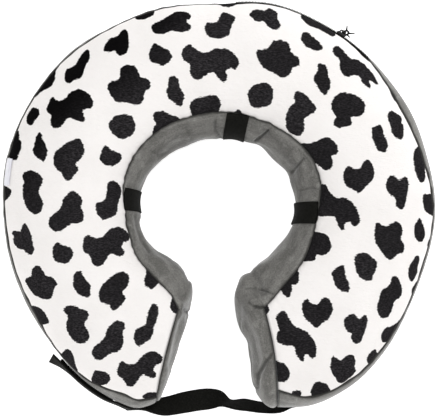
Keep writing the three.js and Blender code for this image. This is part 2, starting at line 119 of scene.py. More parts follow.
def placed(tree, scale=(1, 1, 1), turn=0.0, source="Object"):
    # The piece's own coordinates, turned in degrees about z and scaled.
    coordinates = addNode(tree, "TexCoord").outputs[source]
    rotation = (0, 0, math.radians(turn))
    return addNode(tree, "Mapping", {"Vector": coordinates, "Rotation": rotation, "Scale": scale}).outputs[0]


def attribute(tree, name):
    # A field of the mesh.
    return addNode(tree, "Attribute", None, {"attribute_name": name}).outputs["Fac"]


def newMaterial(name, sockets):
    # Even values are set on the shader's own sockets.
    material = bpy.data.materials.new(name)
    material.use_nodes = True
    tree = material.node_tree
    shader = tree.nodes["Principled BSDF"]
    for key, value in sockets.items():
        shader.inputs[key].default_value = value
    return material, tree, shader


def paint(tree, shader, colour):
    # Gives the shader its colour.
    tree.links.new(colour, shader.inputs["Base Color"])


def addBump(tree, shader, height, distance, strength=1.0):
    # Fine relief: a height from 0 to 1, times a distance in metres.
    bump = addNode(tree, "Bump", {"Height": height, "Distance": distance, "Strength": strength})
    tree.links.new(bump.outputs[0], shader.inputs["Normal"])


def grey(level):
    # A colour with three equal parts.
    return (level, level, level, 1)


# The print's colours and scales. seam is the colour of painted shade along the seams.
plush = {"white": (0.825, 0.8, 0.785, 1), "shade": (0.745, 0.72, 0.7, 1), "seam": grey(0.02),
         "black": (0.0092, 0.0086, 0.0092, 1), "deep": (0.0022, 0.002, 0.0021, 1),
         "streak": (0.055, 0.051, 0.055, 1),
         "nap": (0.2, 1, 0.6), "streakNap": (0.33, 1, 0.6), "napTurn": -8, "hair": 1.9, "hairScale": 1150,
         "lumpScale": 260, "streakScale": 1250, "depthScale": 14, "cloudScale": 38, "pileScale": 900,
         "tuftScale": 300, "pile": 0.001, "deepFrom": -0.235, "deepTo": -0.16}


def makeSpottedPlush():
    # The print is where the piece's "spot" distance, in millimetres, passes zero. Noise drawn out along the
    # nap combs its edges into hairs and streaks the black with lighter hairs of painted sheen. The black is
    # deepest towards the far left.
    material, tree, shader = newMaterial("spottedPlush", {"Roughness": 0.95, "Specular IOR Level": 0.01})
    nap = placed(tree, plush["nap"], plush["napTurn"])
    streakNap = placed(tree, plush["streakNap"], plush["napTurn"])
    flat = placed(tree)
    hairs = calc(tree, "SUBTRACT", noise(tree, nap, plush["hairScale"], 3.0, 0.62), 0.5)
    lumps = calc(tree, "SUBTRACT", noise(tree, flat, plush["lumpScale"], 1.0), 0.5)
    edge = plus(tree, attribute(tree, "spot"), times(tree, hairs, plush["hair"] * 2))
    edge = plus(tree, edge, times(tree, lumps, plush["hair"]))
    inked = spread(tree, edge, -0.3, 0.3)
    # Lighter streaks of painted sheen along the nap, among the pile's hairs.
    streaks = spread(tree, noise(tree, streakNap, plush["streakScale"], 4.0, 0.7), 0.4, 0.74)
    depths = spread(tree, noise(tree, flat, plush["depthScale"], 2.0), 0.35, 0.65, 0.5, 1.0)
    dark = mixColour(tree, times(tree, streaks, depths), plush["black"], plush["streak"])
    apart = addNode(tree, "SeparateXYZ", {0: flat})
    corner = calc(tree, "SUBTRACT", apart.outputs[0], apart.outputs[1])
    near = spread(tree, corner, plush["deepFrom"], plush["deepTo"], 0.1, 1.0)
    dark = mixColour(tree, near, plush["deep"], dark)
    clouds = spread(tree, noise(tree, flat, plush["cloudScale"], 3.0), 0.35, 0.75)
    pale = mixColour(tree, times(tree, clouds, 0.35), plush["white"], plush["shade"])
    # Painted shade: the cloth darkens within about two millimetres of its seams.
    wearAndSeamShade = spread(tree, attribute(tree, "seam"), 0.2, 2.2, 0.55, 1.0)
    paint(tree, shader, mixColour(tree, wearAndSeamShade, plush["seam"], mixColour(tree, inked, pale, dark)))
    tufts = times(tree, noise(tree, flat, plush["tuftScale"], 2.0), 0.7)
    pile = plus(tree, noise(tree, nap, plush["pileScale"], 3.0, 0.6), tufts)
    addBump(tree, shader, pile, plush["pile"], 0.6)
    return material


# seam is the colour of painted shade in the seams and along sharp creases.
velveteen = {"base": (0.18, 0.176, 0.165, 1), "crushed": (0.122, 0.119, 0.111, 1),
             "light": (0.25, 0.246, 0.232, 1), "seam": (0.012, 0.012, 0.011, 1), "drawn": (0.35, 1, 1),
             "patchScale": 75, "lightScale": 120, "grainScale": 850, "reliefScale": 1300, "crushScale": 130,
             "pile": 0.0006}


def makeGreyVelveteen():
    # Grey short pile, crushed in soft patches that run along the piece, with painted shade in its seams and sharp
    # creases.
    sockets = {"Roughness": 0.9, "Sheen Weight": 0.5, "Sheen Roughness": 0.35, "Specular IOR Level": 0.15}
    material, tree, shader = newMaterial("greyVelveteen", sockets)
    flat = placed(tree)
    drawn = placed(tree, velveteen["drawn"], 0, "UV")
    patches = spread(tree, noise(tree, drawn, velveteen["patchScale"], 3.0, 0.6), 0.38, 0.62)
    ground = mixColour(tree, patches, velveteen["crushed"], velveteen["base"])
    lights = spread(tree, noise(tree, flat, velveteen["lightScale"], 3.0, 0.62), 0.52, 0.78)
    ground = mixColour(tree, times(tree, lights, 0.7), ground, velveteen["light"])
    grain = spread(tree, noise(tree, flat, velveteen["grainScale"], 2.0), 0.3, 0.7, 0.78, 1.2)
    ground = addNode(tree, "VectorMath", {0: ground, 1: grain}, {"operation": "MULTIPLY"}).outputs[0]
    # Painted shade: the cloth darkens near its seams and along sharp creases.
    wearAndSeamShade = spread(tree, attribute(tree, "seam"), 0.2, 2.4, 0.25, 1.0)
    paint(tree, shader, mixColour(tree, wearAndSeamShade, velveteen["seam"], ground))
    crush = times(tree, noise(tree, drawn, velveteen["crushScale"], 3.0), 2.2)
    relief = plus(tree, noise(tree, flat, velveteen["reliefScale"], 2.0), crush)
    addBump(tree, shader, relief, velveteen["pile"], 0.45)
    return material


webbing = {"black": (0.005, 0.005, 0.0044, 1), "wearAndSeamShade": (0.0145, 0.0145, 0.0125, 1), "rib": 0.0012,
           "yarn": 0.0009, "fluffScale": 700, "relief": 0.00018}


def wave(tree, length, pitch):
    # A sine of a length in metres, once to the pitch.
    return calc(tree, "SINE", times(tree, length, 2 * math.pi / pitch))


def makeWebbing():
    # Ribs across the band with yarns along it, both read off the piece's own lengths in metres.
    material, tree, shader = newMaterial("blackWebbing", {"Roughness": 0.8, "Specular IOR Level": 0.05})
    apart = addNode(tree, "SeparateXYZ", {0: placed(tree, source="UV")})
    ribs, yarns = wave(tree, apart.outputs[0], webbing["rib"]), wave(tree, apart.outputs[1], webbing["yarn"])
    weave = times(tree, times(tree, ribs, yarns), 0.5)
    weave = plus(tree, times(tree, ribs, 0.6), weave)
    fluff = noise(tree, placed(tree), webbing["fluffScale"], 2.0)
    level = spread(tree, plus(tree, times(tree, weave, 0.25), fluff), 0.25, 0.95)
    paint(tree, shader, mixColour(tree, level, webbing["black"], webbing["wearAndSeamShade"]))
    addBump(tree, shader, plus(tree, weave, fluff), webbing["relief"], 0.6)
    return material


satin = {"shade": (0.6, 0.6, 0.66, 1), "white": (0.72, 0.72, 0.77, 1), "line": 0.0007, "relief": 0.00006}


def makeSatin():
    # White ribbon: fine lines across, a faint cloud of shade.
    material, tree, shader = newMaterial("whiteSatin", {"Roughness": 0.45, "Sheen Weight": 0.2})
    apart = addNode(tree, "SeparateXYZ", {0: placed(tree, source="UV")})
    clouds = noise(tree, placed(tree), 220, 2.0)
    paint(tree, shader, mixColour(tree, clouds, satin["shade"], satin["white"]))
    addBump(tree, shader, wave(tree, apart.outputs[0], satin["line"]), satin["relief"], 0.5)
    return material


enamel = {"black": grey(0.005), "rubbed": grey(0.04), "relief": 0.00008}


def makeEnamel():
    # Black painted metal, rubbed a little where noise peaks.
    material, tree, shader = newMaterial("blackEnamel", {"Roughness": 0.45, "Specular IOR Level": 0.35})
    rubbed = spread(tree, noise(tree, placed(tree), 900, 3.0), 0.62, 0.75)
    paint(tree, shader, mixColour(tree, rubbed, enamel["black"], enamel["rubbed"]))
    addBump(tree, shader, noise(tree, placed(tree), 1200, 2.0), enamel["relief"], 0.4)
    return material


cotton = {"black": grey(0.003), "wearAndSeamShade": (0.012, 0.012, 0.011, 1), "twist": 0.000698, "relief": 0.0001}


def makeThread():
    # Twisted black cotton: a fine slant stripe on the thread's own lengths.
    material, tree, shader = newMaterial("blackThread", {"Roughness": 0.85, "Specular IOR Level": 0.2})
    apart = addNode(tree, "SeparateXYZ", {0: placed(tree, source="UV")})
    twist = wave(tree, plus(tree, apart.outputs[0], apart.outputs[1]), cotton["twist"])
    paint(tree, shader, mixColour(tree, spread(tree, twist, -1, 1), cotton["black"], cotton["wearAndSeamShade"]))
    addBump(tree, shader, twist, cotton["relief"], 0.5)
    return material


film = {"pale": (0.68, 0.72, 0.74, 1), "shade": (0.55, 0.6, 0.62, 1), "relief": 0.0002}


def makeFilm():
    # Pale soft film with a fine orange-peel surface.
    material, tree, shader = newMaterial("bladderFilm", {"Roughness": 0.32, "Specular IOR Level": 0.5})
    paint(tree, shader, mixColour(tree, noise(tree, placed(tree), 60, 3.0), film["shade"], film["pale"]))
    addBump(tree, shader, noise(tree, placed(tree), 500, 2.0), film["relief"], 0.3)
    return material


def makeFloor():
    # A little light of its own keeps the floor's shadows pale.
    sockets = {"Roughness": 1.0, "Specular IOR Level": 0.0, "Emission Color": grey(1.0), "Emission Strength": 0.7}
    material, tree, shader = newMaterial("paleFloor", sockets)
    level = spread(tree, noise(tree, placed(tree), 3, 2.0), 0.2, 0.8)
    paint(tree, shader, mixColour(tree, level, grey(0.955), grey(0.965)))
    return material


spottedPlush = makeSpottedPlush()
greyVelveteen = makeGreyVelveteen()
blackWebbing = makeWebbing()
whiteSatin = makeSatin()
blackEnamel = makeEnamel()
blackThread = makeThread()
bladderFilm = makeFilm()
print("stage: materials made")

# The inflated ring: lengths, and the sections round the neck. neck and rim are shares of the two radii,
# neckSeam and rimSeam of the two insets, height of the ring's, and skew is in degrees. The solids have the
# same, but for the rim seam from 105 to 150 degrees, which lies further in here to show the grey outside it.
ring = {"neckRadius": 0.07, "rimRadius": 0.1945, "height": 0.1, "sag": 0.002, "fullness": 2.25,
        "neckSeamInset": 0.017, "rimSeamInset": 0.006, "axis": (-0.001971, -0.002445), "foldDepth": 0.006,
        "seamGap": 0.0003, "bulgeFullness": 2.7, "middleRadius": 0.132}
columns = ("at", "neck", "neckSeam", "rimSeam", "rim", "height", "skew")
sections = np.array([
    (-67, 0.887, 1.94, 2.6, 0.945, 0.97, -12),
    (-60, 0.858, 1.9, 1.3, 0.996, 0.98, -7),
    (-50, 0.845, 1.75, 0.8, 1.014, 0.99, -2),
    (-40, 0.863, 1.62, 0.5, 1.004, 1, 0),
    (-30, 0.907, 1.43, 0.3, 0.99, 1, 0),
    (-15, 0.959, 1.17, 0.3, 0.988, 1, 0),
    (0, 0.999, 1.12, 0.55, 1.013, 1, 0),
    (15, 1.012, 1.37, 1.05, 1.009, 1, 0),
    (30, 1, 1.45, 1.2, 1.004, 1, 0),
    (45, 0.99, 1.33, 0.5, 1.005, 1, 0),
    (60, 0.983, 1.13, 0.12, 0.998, 1, 0),
    (75, 0.971, 1.12, 0.2, 0.997, 1, 0),
    (90, 0.949, 1.16, 0.25, 0.969, 0.99, 0),
    (105, 0.94, 1.14, 0.3, 0.983, 1, 0),
    (120, 0.952, 1.16, 0.38, 0.99, 1, 0),
    (135, 0.97, 1.12, 0.42, 1.006, 1, 0),
    (150, 1, 0.99, 0.38, 1.007, 1, 0),
    (165, 1.014, 0.82, 0.35, 1.004, 1, 0),
    (180, 0.985, 0.66, 0.4, 0.99, 1, 0),
    (195, 0.981, 0.65, 0.3, 0.976, 1, 0),
    (210, 0.931, 0.96, 0.3, 0.97, 1, 0),
    (222, 0.854, 1.23, 0.3, 0.984, 1, 0),
    (232, 0.841, 1.33, 0.5, 0.992, 0.99, 0.5),
    (242, 0.861, 1.43, 1.5, 0.99, 0.98, 2.5),
    (246, 0.898, 1.49, 1.3, 0.978, 0.975, 3.7),
    (250, 0.95, 1.55, 0.65, 0.92, 0.97, 5),
], float)
rightEnd, leftEnd = sections[0, 0], sections[-1, 0]
# The two end faces: azimuth, the way out, how far the face bulges, and how much less it does at the rim.
ends = [(rightEnd, -1, 0.022, 0.2), (leftEnd, 1, 0.0085, 0.5)]

# Folds of the cover, and the loops drawn tight over the gusset: azimuth, section angle, depth as a share of
# foldDepth, and how far each runs in degrees round the neck and up the section.
folds = [(-65, 138, 1, 4.5, 14), (252, 142, 0.8, 4, 14), (59, 150, 0.4, 3.5, 26), (28, 152, 0.4, 3.5, 26),
         (14, 150, 0.25, 3, 20), (189, 155, 0.25, 4, 24), (-1.6, 180, 0.2, 9, 45), (77.5, 180, 0.2, 9, 45),
         (173, 180, 0.2, 9, 45)]


def along(column, azimuth):
    # A column of the sections at any azimuth: cubics through the rows, whose slopes run from the row before
    # to the row after.
    at, value = sections[:, 0], sections[:, columns.index(column)]
    before, after = np.maximum(np.arange(len(at)) - 1, 0), np.minimum(np.arange(len(at)) + 1, len(at) - 1)
    slope = (value[after] - value[before]) / (at[after] - at[before])
    i = np.clip(np.searchsorted(at, azimuth, side="right") - 1, 0, len(at) - 2)
    gap = at[i + 1] - at[i]
    u = (azimuth - at[i]) / gap
    start = value[i] * (2 * u**3 - 3 * u**2 + 1) + slope[i] * gap * (u**3 - 2 * u**2 + u)
    return start + value[i + 1] * (3 * u**2 - 2 * u**3) + slope[i + 1] * gap * (u**3 - u**2)


def rounded(value, power):
    # A sine or cosine raised to a power that keeps its sign, which squares up a circle.
    return np.sign(value) * np.abs(value) ** power


def dents(azimuth, side):
    # The folds' depth at a place: bells in azimuth and section angle, added up.
    total = 0.0
    for at, where, depth, long, tall in folds:
        up = (np.degrees(side) - where + 180) % 360 - 180
        total = total + depth * np.exp(-(((azimuth - at) / long) ** 2) - (up / tall) ** 2)
    return ring["foldDepth"] * total


def coverPoint(azimuth, side):
    # The cover's outside. A section is a squared-up ellipse between neck and rim, cut off by the floor, and
    # side is the angle round it: 0 at the rim, a quarter turn at the crown, a half turn at the neck.
    azimuth, side = np.broadcast_arrays(np.asarray(azimuth, float), np.asarray(side, float))
    neck, rim = ring["neckRadius"] * along("neck", azimuth), ring["rimRadius"] * along("rim", azimuth)
    crown = ring["height"] * along("height", azimuth)
    power = 2 / ring["fullness"]
    dent, across = dents(azimuth, side), rounded(np.cos(side), power)
    radius = (neck + rim) / 2 + ((rim - neck) / 2 - dent) * across
    turn = np.radians(azimuth + along("skew", azimuth) * across / 2)
    z = (crown - ring["sag"]) / 2 + ((crown + ring["sag"]) / 2 - dent) * rounded(np.sin(side), power)
    x, y = ring["axis"][0] + radius * np.cos(turn), ring["axis"][1] + radius * np.sin(turn)
    return np.stack([x, y, np.maximum(z, 0)], -1)


def unit(vectors):
    # The vectors divided by their lengths.
    return vectors / np.maximum(np.linalg.norm(vectors, axis=-1, keepdims=True), 1e-12)


def coverOut(azimuth, side):
    # The cover's outward normal: the way round crossed with the way up the section.
    step = 0.02
    roundWay = coverPoint(azimuth + step, side) - coverPoint(azimuth - step, side)
    return unit(np.cross(roundWay, coverPoint(azimuth, side + step) - coverPoint(azimuth, side - step)))


def turnFor(azimuth, side, length):
    # How far the section angle turns over a length measured up the section.
    step = 0.01
    reach = np.linalg.norm(coverPoint(azimuth, side + step) - coverPoint(azimuth, side - step), axis=-1)
    return 2 * step * length / reach


def seamLine(which, azimuth):
    # The section angle of the printed panel's seam at the neck or at the rim.
    neck, rim = ring["neckRadius"] * along("neck", azimuth), ring["rimRadius"] * along("rim", azimuth)
    inset = ring[which + "SeamInset"] * along(which + "Seam", azimuth)
    angle = np.arccos((1 - inset / ((rim - neck) / 2)) ** (ring["fullness"] / 2))
    return np.pi - angle if which == "neck" else angle


def neckSeam(azimuth):
    # Where the print meets the gusset.
    return seamLine("neck", azimuth)


def rimSeam(azimuth):
    # Where the print meets the back.
    return seamLine("rim", azimuth)


def runs(points, axis):
    # Length run along one direction of a grid of points.
    steps = np.linalg.norm(np.diff(points, axis=axis), axis=-1)
    return np.concatenate([np.zeros_like(np.take(steps, [0], axis)), np.cumsum(steps, axis)], axis)


def ripple(u, v, length, seed, waves=9):
    # Gentle unevenness about zero: sines of random direction, pitch and phase over two lengths.
    pick = np.random.default_rng(seed)
    total, fullTurn = 0.0, 2 * math.pi
    angles, phases = pick.uniform(0, fullTurn, waves), pick.uniform(0, fullTurn, waves)
    for angle, phase, pitch in zip(angles, phases, pick.uniform(0.7, 1.6, waves)):
        total = total + np.sin(fullTurn * (u * np.cos(angle) + v * np.sin(angle)) / (length * pitch) + phase)
    return total / math.sqrt(waves)


def makeMesh(name, grids, material, merge=False, recalc=False):
    # One mesh from grids of points, rows by columns, whose row way crossed with its column way faces out.
    # Each grid may carry "uv" in metres, "loops" where its rows close, and fields, which become attributes.
    starts = np.cumsum([0] + [g["points"].shape[0] * g["points"].shape[1] for g in grids])
    points = np.concatenate([g["points"].reshape(-1, 3) for g in grids])
    quads = []
    for g, start in zip(grids, starts):
        rows, cols = g["points"].shape[:2]
        ids = start + np.arange(rows * cols).reshape(rows, cols)
        if g.get("loops"):
            ids = np.concatenate([ids, ids[:, :1]], 1)
        quads.append(np.stack([ids[:-1, :-1], ids[1:, :-1], ids[1:, 1:], ids[:-1, 1:]], -1).reshape(-1, 4))
    quads = np.concatenate(quads)
    mesh = bpy.data.meshes.new(name)
    mesh.from_pydata(points, [], quads.tolist())
    for field in ("spot", "seam"):
        if field in grids[0]:
            layer = mesh.attributes.new(field, "FLOAT", "POINT")
            values = np.concatenate([g[field].ravel() for g in grids])
            layer.data.foreach_set("value", values.astype(np.float32))
    if "uv" in grids[0]:
        uv = np.concatenate([g["uv"].reshape(-1, 2) for g in grids])[quads.ravel()]
        mesh.uv_layers.new(name="cloth").data.foreach_set("uv", uv.astype(np.float32).ravel())
    if merge or recalc:
        work = bmesh.new()
        work.from_mesh(mesh)
        bmesh.ops.remove_doubles(work, verts=work.verts, dist=1e-6)
        if recalc:
            bmesh.ops.recalc_face_normals(work, faces=work.faces)
        work.to_mesh(mesh)
        work.free()
    mesh.shade_smooth()
    mesh.materials.append(material)
    piece = bpy.data.objects.new(name, mesh)
    bpy.context.scene.collection.objects.link(piece)
    return piece


def settle(piece, slot, *nodes):
    # Hands a piece over: it stays with the one body and stands for its solids.
    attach(piece, "root")
    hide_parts(*nodes)


# The print, charted on the picture: each spot is a ring of corners, joined by a smooth line.
spots = [
    [(125, 28), (128, 32), (129, 42), (128, 50), (125, 55), (120, 56), (117, 54), (115.5, 50.5), (113, 51.5),
     (109, 52.5), (104, 51), (103.5, 48), (106, 43), (109, 39), (113, 37), (118, 36.5), (120, 32)],
    [(87, 49), (89.5, 51), (90, 56), (88.5, 62), (86, 65), (84, 71), (81.5, 77), (79, 79), (75, 80),
     (71, 82.5), (66.5, 83.5), (64.5, 79), (64.5, 73), (66.5, 69), (71, 67.5), (76, 64.5), (79, 58),
     (82.5, 53)],
    [(61, 63), (58, 68), (55.5, 71), (55.5, 77), (53.5, 83), (50.5, 87.5), (46, 89), (42, 91), (38, 95),
     (34, 99), (38, 90), (45, 80), (52, 70)],
    [(77, 89), (82, 89.5), (87, 92), (91, 96), (93.5, 102), (92.5, 106.5), (90, 109), (87, 108.5),
     (84, 109.5), (82.5, 111), (84, 115), (85.5, 118.5), (83.5, 122), (80, 122), (76, 120.5), (73, 119.5),
     (71.5, 117), (68, 118), (65, 120.5), (62.5, 124.5), (59, 128), (55, 129), (52, 127), (50.5, 122.5),
     (51, 117), (50, 113), (48, 113.5), (46, 110), (47, 105), (50, 101), (51, 97.5), (53, 96.5), (55, 98.5),
     (58, 101), (63, 100.5), (66.5, 96.5), (70, 92)],
    [(32, 107.5), (35, 107.5), (38.5, 108.5), (40, 112), (38.5, 117), (35, 120.5), (33, 124.5), (30, 125.5),
     (26.5, 124), (26, 119.5), (27.5, 114), (31, 109.5)],
    [(155, 8), (154.5, 14), (151, 17), (144, 19.5), (137.5, 20), (134, 17.5), (140, 13), (148, 9)],
    [(180, 11), (186, 11.5), (190, 13.5), (191.5, 17.5), (189, 19.5), (186.5, 20.5), (188, 23), (191.5, 26.5),
     (190, 30), (187, 31.5), (181, 32.5), (176.5, 31.5), (171, 31), (166, 33), (160, 34.5), (154, 33.5),
     (151.5, 29.5), (151, 26.5), (154, 23), (160, 20.5), (166, 17.5), (171, 14.5), (175, 12)],
    [(224, 12), (229, 13.5), (235.5, 16.5), (235, 20), (232, 24), (231, 29), (229, 35), (226, 37),
     (219, 38.5), (212, 38), (208.5, 36.5), (205.5, 33), (204.5, 29), (205.5, 24), (207.5, 21.5), (209.5, 23),
     (214, 23), (218, 21), (219.5, 17), (221.5, 13)],
    [(155, 42.5), (158, 45), (163, 47.5), (168, 49.5), (171, 53), (172.5, 55.5), (170.5, 61), (166, 65),
     (161, 66), (157, 63.5), (151, 62), (148.5, 58), (149, 53), (151, 48), (152.5, 44)],
    [(189.5, 43.5), (192, 46), (196, 49.5), (201, 52), (205, 52.5), (209, 52), (213, 49), (218, 48),
     (224, 48.5), (230, 50), (235, 54), (239, 60), (239, 65), (237, 68.5), (233.5, 69.5), (231, 67.5),
     (228, 69), (225.5, 71), (227, 75), (227.5, 79.5), (225, 81.5), (221.5, 81.5), (218, 78), (214.5, 72.5),
     (210, 72.5), (205, 76), (201, 79.5), (197, 80.5), (193, 78.5), (189.5, 73.5), (190, 69), (190, 64.5),
     (187, 62), (183.5, 60), (181.5, 56), (182.5, 50.5), (185, 46)],
    [(128.5, 65), (134, 65), (137.5, 68.5), (139, 73), (139.5, 77.5), (143, 78), (148, 78.5), (150, 82),
     (151, 87), (148, 89.5), (145.5, 90), (144.5, 94), (143.5, 100), (141, 104), (136, 105.5), (130, 103.5),
     (125, 102.5), (120, 102.5), (116, 101.5), (112, 97.5), (108.5, 92), (107, 87.5), (108.5, 83), (112, 81),
     (117, 80.5), (119.5, 78.5), (119.5, 73), (121, 68.5), (124, 65.5)],
    [(173.5, 75.5), (177.5, 77.5), (178.5, 82), (180.5, 88), (183, 92.5), (185, 96), (183.5, 100),
     (182.5, 105), (180.5, 107), (177, 104.5), (173, 102), (169, 99.5), (167, 95), (166, 92), (167.5, 87),
     (168.5, 83), (168, 80), (169.5, 77)],
    [(213, 94.5), (217.5, 96.5), (220.5, 100), (221, 105), (219.5, 110), (217, 115), (208, 119), (200, 121),
     (195, 120), (191, 113.5), (189.5, 108), (190.5, 102.5), (194, 99), (199, 97.5), (206, 96)],
    [(161, 110.5), (165, 111.5), (170, 114.5), (176, 116.5), (181, 119), (180, 126), (170, 134), (160, 140),
     (153.5, 139), (152, 132.5), (153.5, 128), (156.5, 123.5), (155, 120.5), (152.5, 117.5), (153, 113)],
    [(121, 114.5), (128, 114.5), (132, 116), (134.5, 121), (136, 127), (134, 133), (129, 137), (123.5, 140),
     (117, 137.5), (112, 133), (108.5, 127), (109, 122.5), (113, 117.5), (117, 115)],
    [(214, 3), (220, 5.5), (228, 7.5), (233, 6.3), (240, 3)],
    [(238, 109), (240.5, 110.5), (242, 114), (245.5, 117), (249, 118.5), (247, 123), (236, 124), (228, 123),
     (228, 115.5), (231.5, 114), (235, 111.5)],
    [(268, 8), (272, 9), (278, 12.5), (277, 17), (279, 21), (281, 25), (279, 29.5), (274, 30), (269, 27.5),
     (265.5, 24), (263.5, 20.5), (260, 21.5), (257, 22), (254, 20), (251, 17), (248.5, 14.5), (252, 11),
     (255.5, 9.5), (261, 10), (265, 11)],
    [(299.5, 16), (304, 14), (310, 16.5), (318, 20.5), (326, 25), (332, 29.5), (336.5, 35), (333, 37),
     (328, 34.5), (320, 29.5), (313, 27.5), (308, 25), (304, 21.5)],
    [(273, 40.5), (279, 39.5), (284, 40.5), (288.5, 43.5), (290, 48), (290.5, 51.5), (294, 54), (298, 57.5),
     (300, 61.5), (299.5, 66), (296, 66.5), (293.5, 67), (291.5, 70.5), (290.5, 74), (286, 77.5), (281, 78),
     (276, 74.5), (271, 72), (266, 69.5), (262, 67), (259.5, 62.5), (257, 57), (256, 52), (258, 49),
     (263, 49.5), (267, 49), (270.5, 44.5)],
    [(304, 31.5), (307.5, 32), (311, 35), (316, 39), (320.5, 43.5), (323.5, 48), (321, 50.5), (315.5, 51.5),
     (311, 49), (305.5, 46), (301.5, 41), (300.5, 37), (302, 33.5)],
    [(258, 83.5), (263, 82.5), (269, 83.5), (272.5, 87), (273.5, 92), (273, 98), (272, 103), (268, 106.5),
     (263, 107), (257.5, 108.5), (252, 107), (249, 103), (247.5, 97.5), (248, 92), (251, 87)],
    [(318, 63.5), (322, 63), (326.5, 66.5), (328, 70), (328, 75), (330, 80), (331.5, 84.5), (329, 89.5),
     (326, 95), (324, 95.5), (321, 91.5), (317, 86.5), (313.5, 81), (314, 76), (317.5, 71), (318, 67)],
    [(337, 45), (341, 48), (345, 52.5), (349, 57), (353, 59.5), (359, 60), (363, 63), (368, 68), (372.5, 73),
     (376, 78.5), (378.5, 84), (376.5, 85), (373.5, 83), (370, 79.5), (368.5, 81.5), (371.5, 87.5),
     (369, 88.5), (365.5, 85.5), (361.5, 81.5), (361, 77.5), (356.5, 75), (352, 75.5), (348, 77), (344, 75.5),
     (340.5, 71.5), (339, 67), (340, 62), (339, 59), (334.5, 55.5), (332, 50.5), (333.5, 47)],
    [(296, 91.5), (301, 91.5), (305.5, 94.5), (309.5, 98.5), (312.5, 102.5), (317, 107.5), (315, 112),
     (310, 114.5), (306, 117), (303.5, 120), (304.5, 126), (303.5, 132), (300.5, 135.5), (295.5, 136),
     (289.5, 133), (286, 128), (285.5, 121), (286, 114), (288.5, 108.5), (291, 105), (295.5, 102.5),
     (293.5, 98), (294, 94)],
    [(343.5, 92.5), (350, 93.5), (357, 95.5), (362, 99), (365.5, 105), (364.5, 111), (361, 116), (356, 117),
     (351.5, 116.5), (351, 119.5), (352.5, 123), (349.5, 126), (345, 126.5), (340, 128), (335, 126.5),
     (332.5, 123), (334.5, 119.5), (336.5, 117), (334, 113.5), (331, 109), (331.5, 102.5), (334, 97),
     (338, 94)],
    [(388.5, 83), (392, 87), (400, 98), (406, 109), (410, 119), (405.5, 115.5), (403.5, 112), (400, 106),
     (396, 102.5), (392, 97), (389.5, 90.5)],
    [(391, 110), (395, 112.5), (399, 114.5), (402, 118), (401.5, 121.5), (403.5, 126), (404, 132), (403, 139),
     (400, 140), (396, 138), (393, 134.5), (390.5, 131), (391.5, 128), (389.5, 124), (387.5, 119),
     (387.5, 113.5)],
    [(379.5, 124.5), (382, 126.5), (384, 131), (383.5, 133.5), (386, 138), (387.5, 142.5), (388, 148),
     (385, 152.5), (381, 151.5), (377, 150), (375.5, 145.5), (373, 141), (372, 136.5), (371.5, 131),
     (372.5, 127.5), (376, 126)],
    [(418.5, 145.5), (421, 148.5), (424, 156), (426, 162.5), (424.5, 165.5), (426, 177), (424, 182),
     (421.5, 183), (418.5, 180.5), (416, 174.5), (414, 166.5), (413, 156), (414.5, 150)],
    [(325, 137.5), (330, 138), (334.5, 141), (337.5, 146), (338, 152.5), (334, 155.5), (331, 155.5),
     (332.5, 160), (333, 165.5), (330.5, 169), (325.5, 170.5), (322, 168.5), (318.5, 165), (314, 162.5),
     (308, 161), (303, 155), (299, 148), (297, 143.5), (305, 143), (310, 143.5), (316, 141.5), (320, 139)],
    [(348, 165), (351.5, 167.5), (355.5, 169.5), (360, 168.5), (362, 164), (365.5, 160), (369, 159.5),
     (372, 163), (374.5, 170), (374.5, 177), (371, 182), (367, 185.5), (363, 189.5), (360.5, 193),
     (357, 192.5), (352, 189.5), (346, 186), (343.5, 181), (343, 174.5), (345, 169.5)],
    [(392, 174.5), (395.5, 176), (398.5, 180.5), (401, 180), (403.5, 177), (406.5, 176.5), (408, 180),
     (409, 185), (408, 191), (407, 197), (405.5, 202.5), (404.5, 206.5), (402.5, 210), (399, 209),
     (396, 205.5), (395.5, 201), (394.5, 197), (391, 196), (387.5, 191.5), (385.5, 187), (386.5, 181),
     (388.5, 177.5)],
    [(424, 193), (428, 194.5), (434, 193), (437, 200), (437, 210), (433.5, 217), (429, 214), (425.5, 212),
     (423.5, 206), (422, 200), (423, 196)],
    [(324, 183.5), (327, 186), (329, 191), (331.5, 194), (335.5, 197.5), (340, 198), (345, 198), (350, 200),
     (353, 203.5), (357, 209), (359, 215.5), (360.5, 221), (358.5, 224.5), (355, 227), (352, 225.5),
     (350.5, 222.5), (348.5, 222), (345.5, 222.5), (344, 226), (345, 229.5), (342, 230.5), (339.5, 229),
     (337, 223), (335.5, 217.5), (331, 216), (326, 216), (322, 217), (318, 216), (315, 212), (315, 205),
     (316, 195), (318, 188), (320, 184.5)],
    [(316, 231.5), (322, 233), (327, 235), (330, 239), (331.5, 245), (330, 250.5), (326.5, 254.5),
     (321, 255.5), (316.5, 254.5), (315.5, 257), (315.5, 260), (311, 261.5), (306, 261.5), (301, 261),
     (300, 256), (303, 250), (305, 243), (309, 235), (312, 231)],
    [(375.5, 223), (378.5, 222.5), (382, 225), (386, 227.5), (389.5, 224.5), (393.5, 221.5), (397.5, 221.5),
     (401.5, 225), (403, 230), (402, 235), (400.5, 239), (403, 242), (405, 245), (404, 250), (402, 253.5),
     (399, 253), (396.5, 255), (393.5, 259), (390, 260.5), (386.5, 258.5), (383, 253.5), (379.5, 248.5),
     (376, 244.5), (374.5, 239), (374.5, 231), (375, 226)],
    [(419.5, 217.5), (421.5, 219.5), (423, 225), (425, 231), (425, 236.5), (423, 241), (419.5, 242.5),
     (416.5, 240.5), (414.5, 236), (413.5, 230.5), (415, 224.5), (417.5, 219.5)],
    [(430, 237), (434, 240), (430, 249), (427, 248), (427.5, 243)],
    [(358, 253), (363, 252.5), (368.5, 254), (372.5, 257.5), (376, 261), (377.5, 263.5), (376, 270),
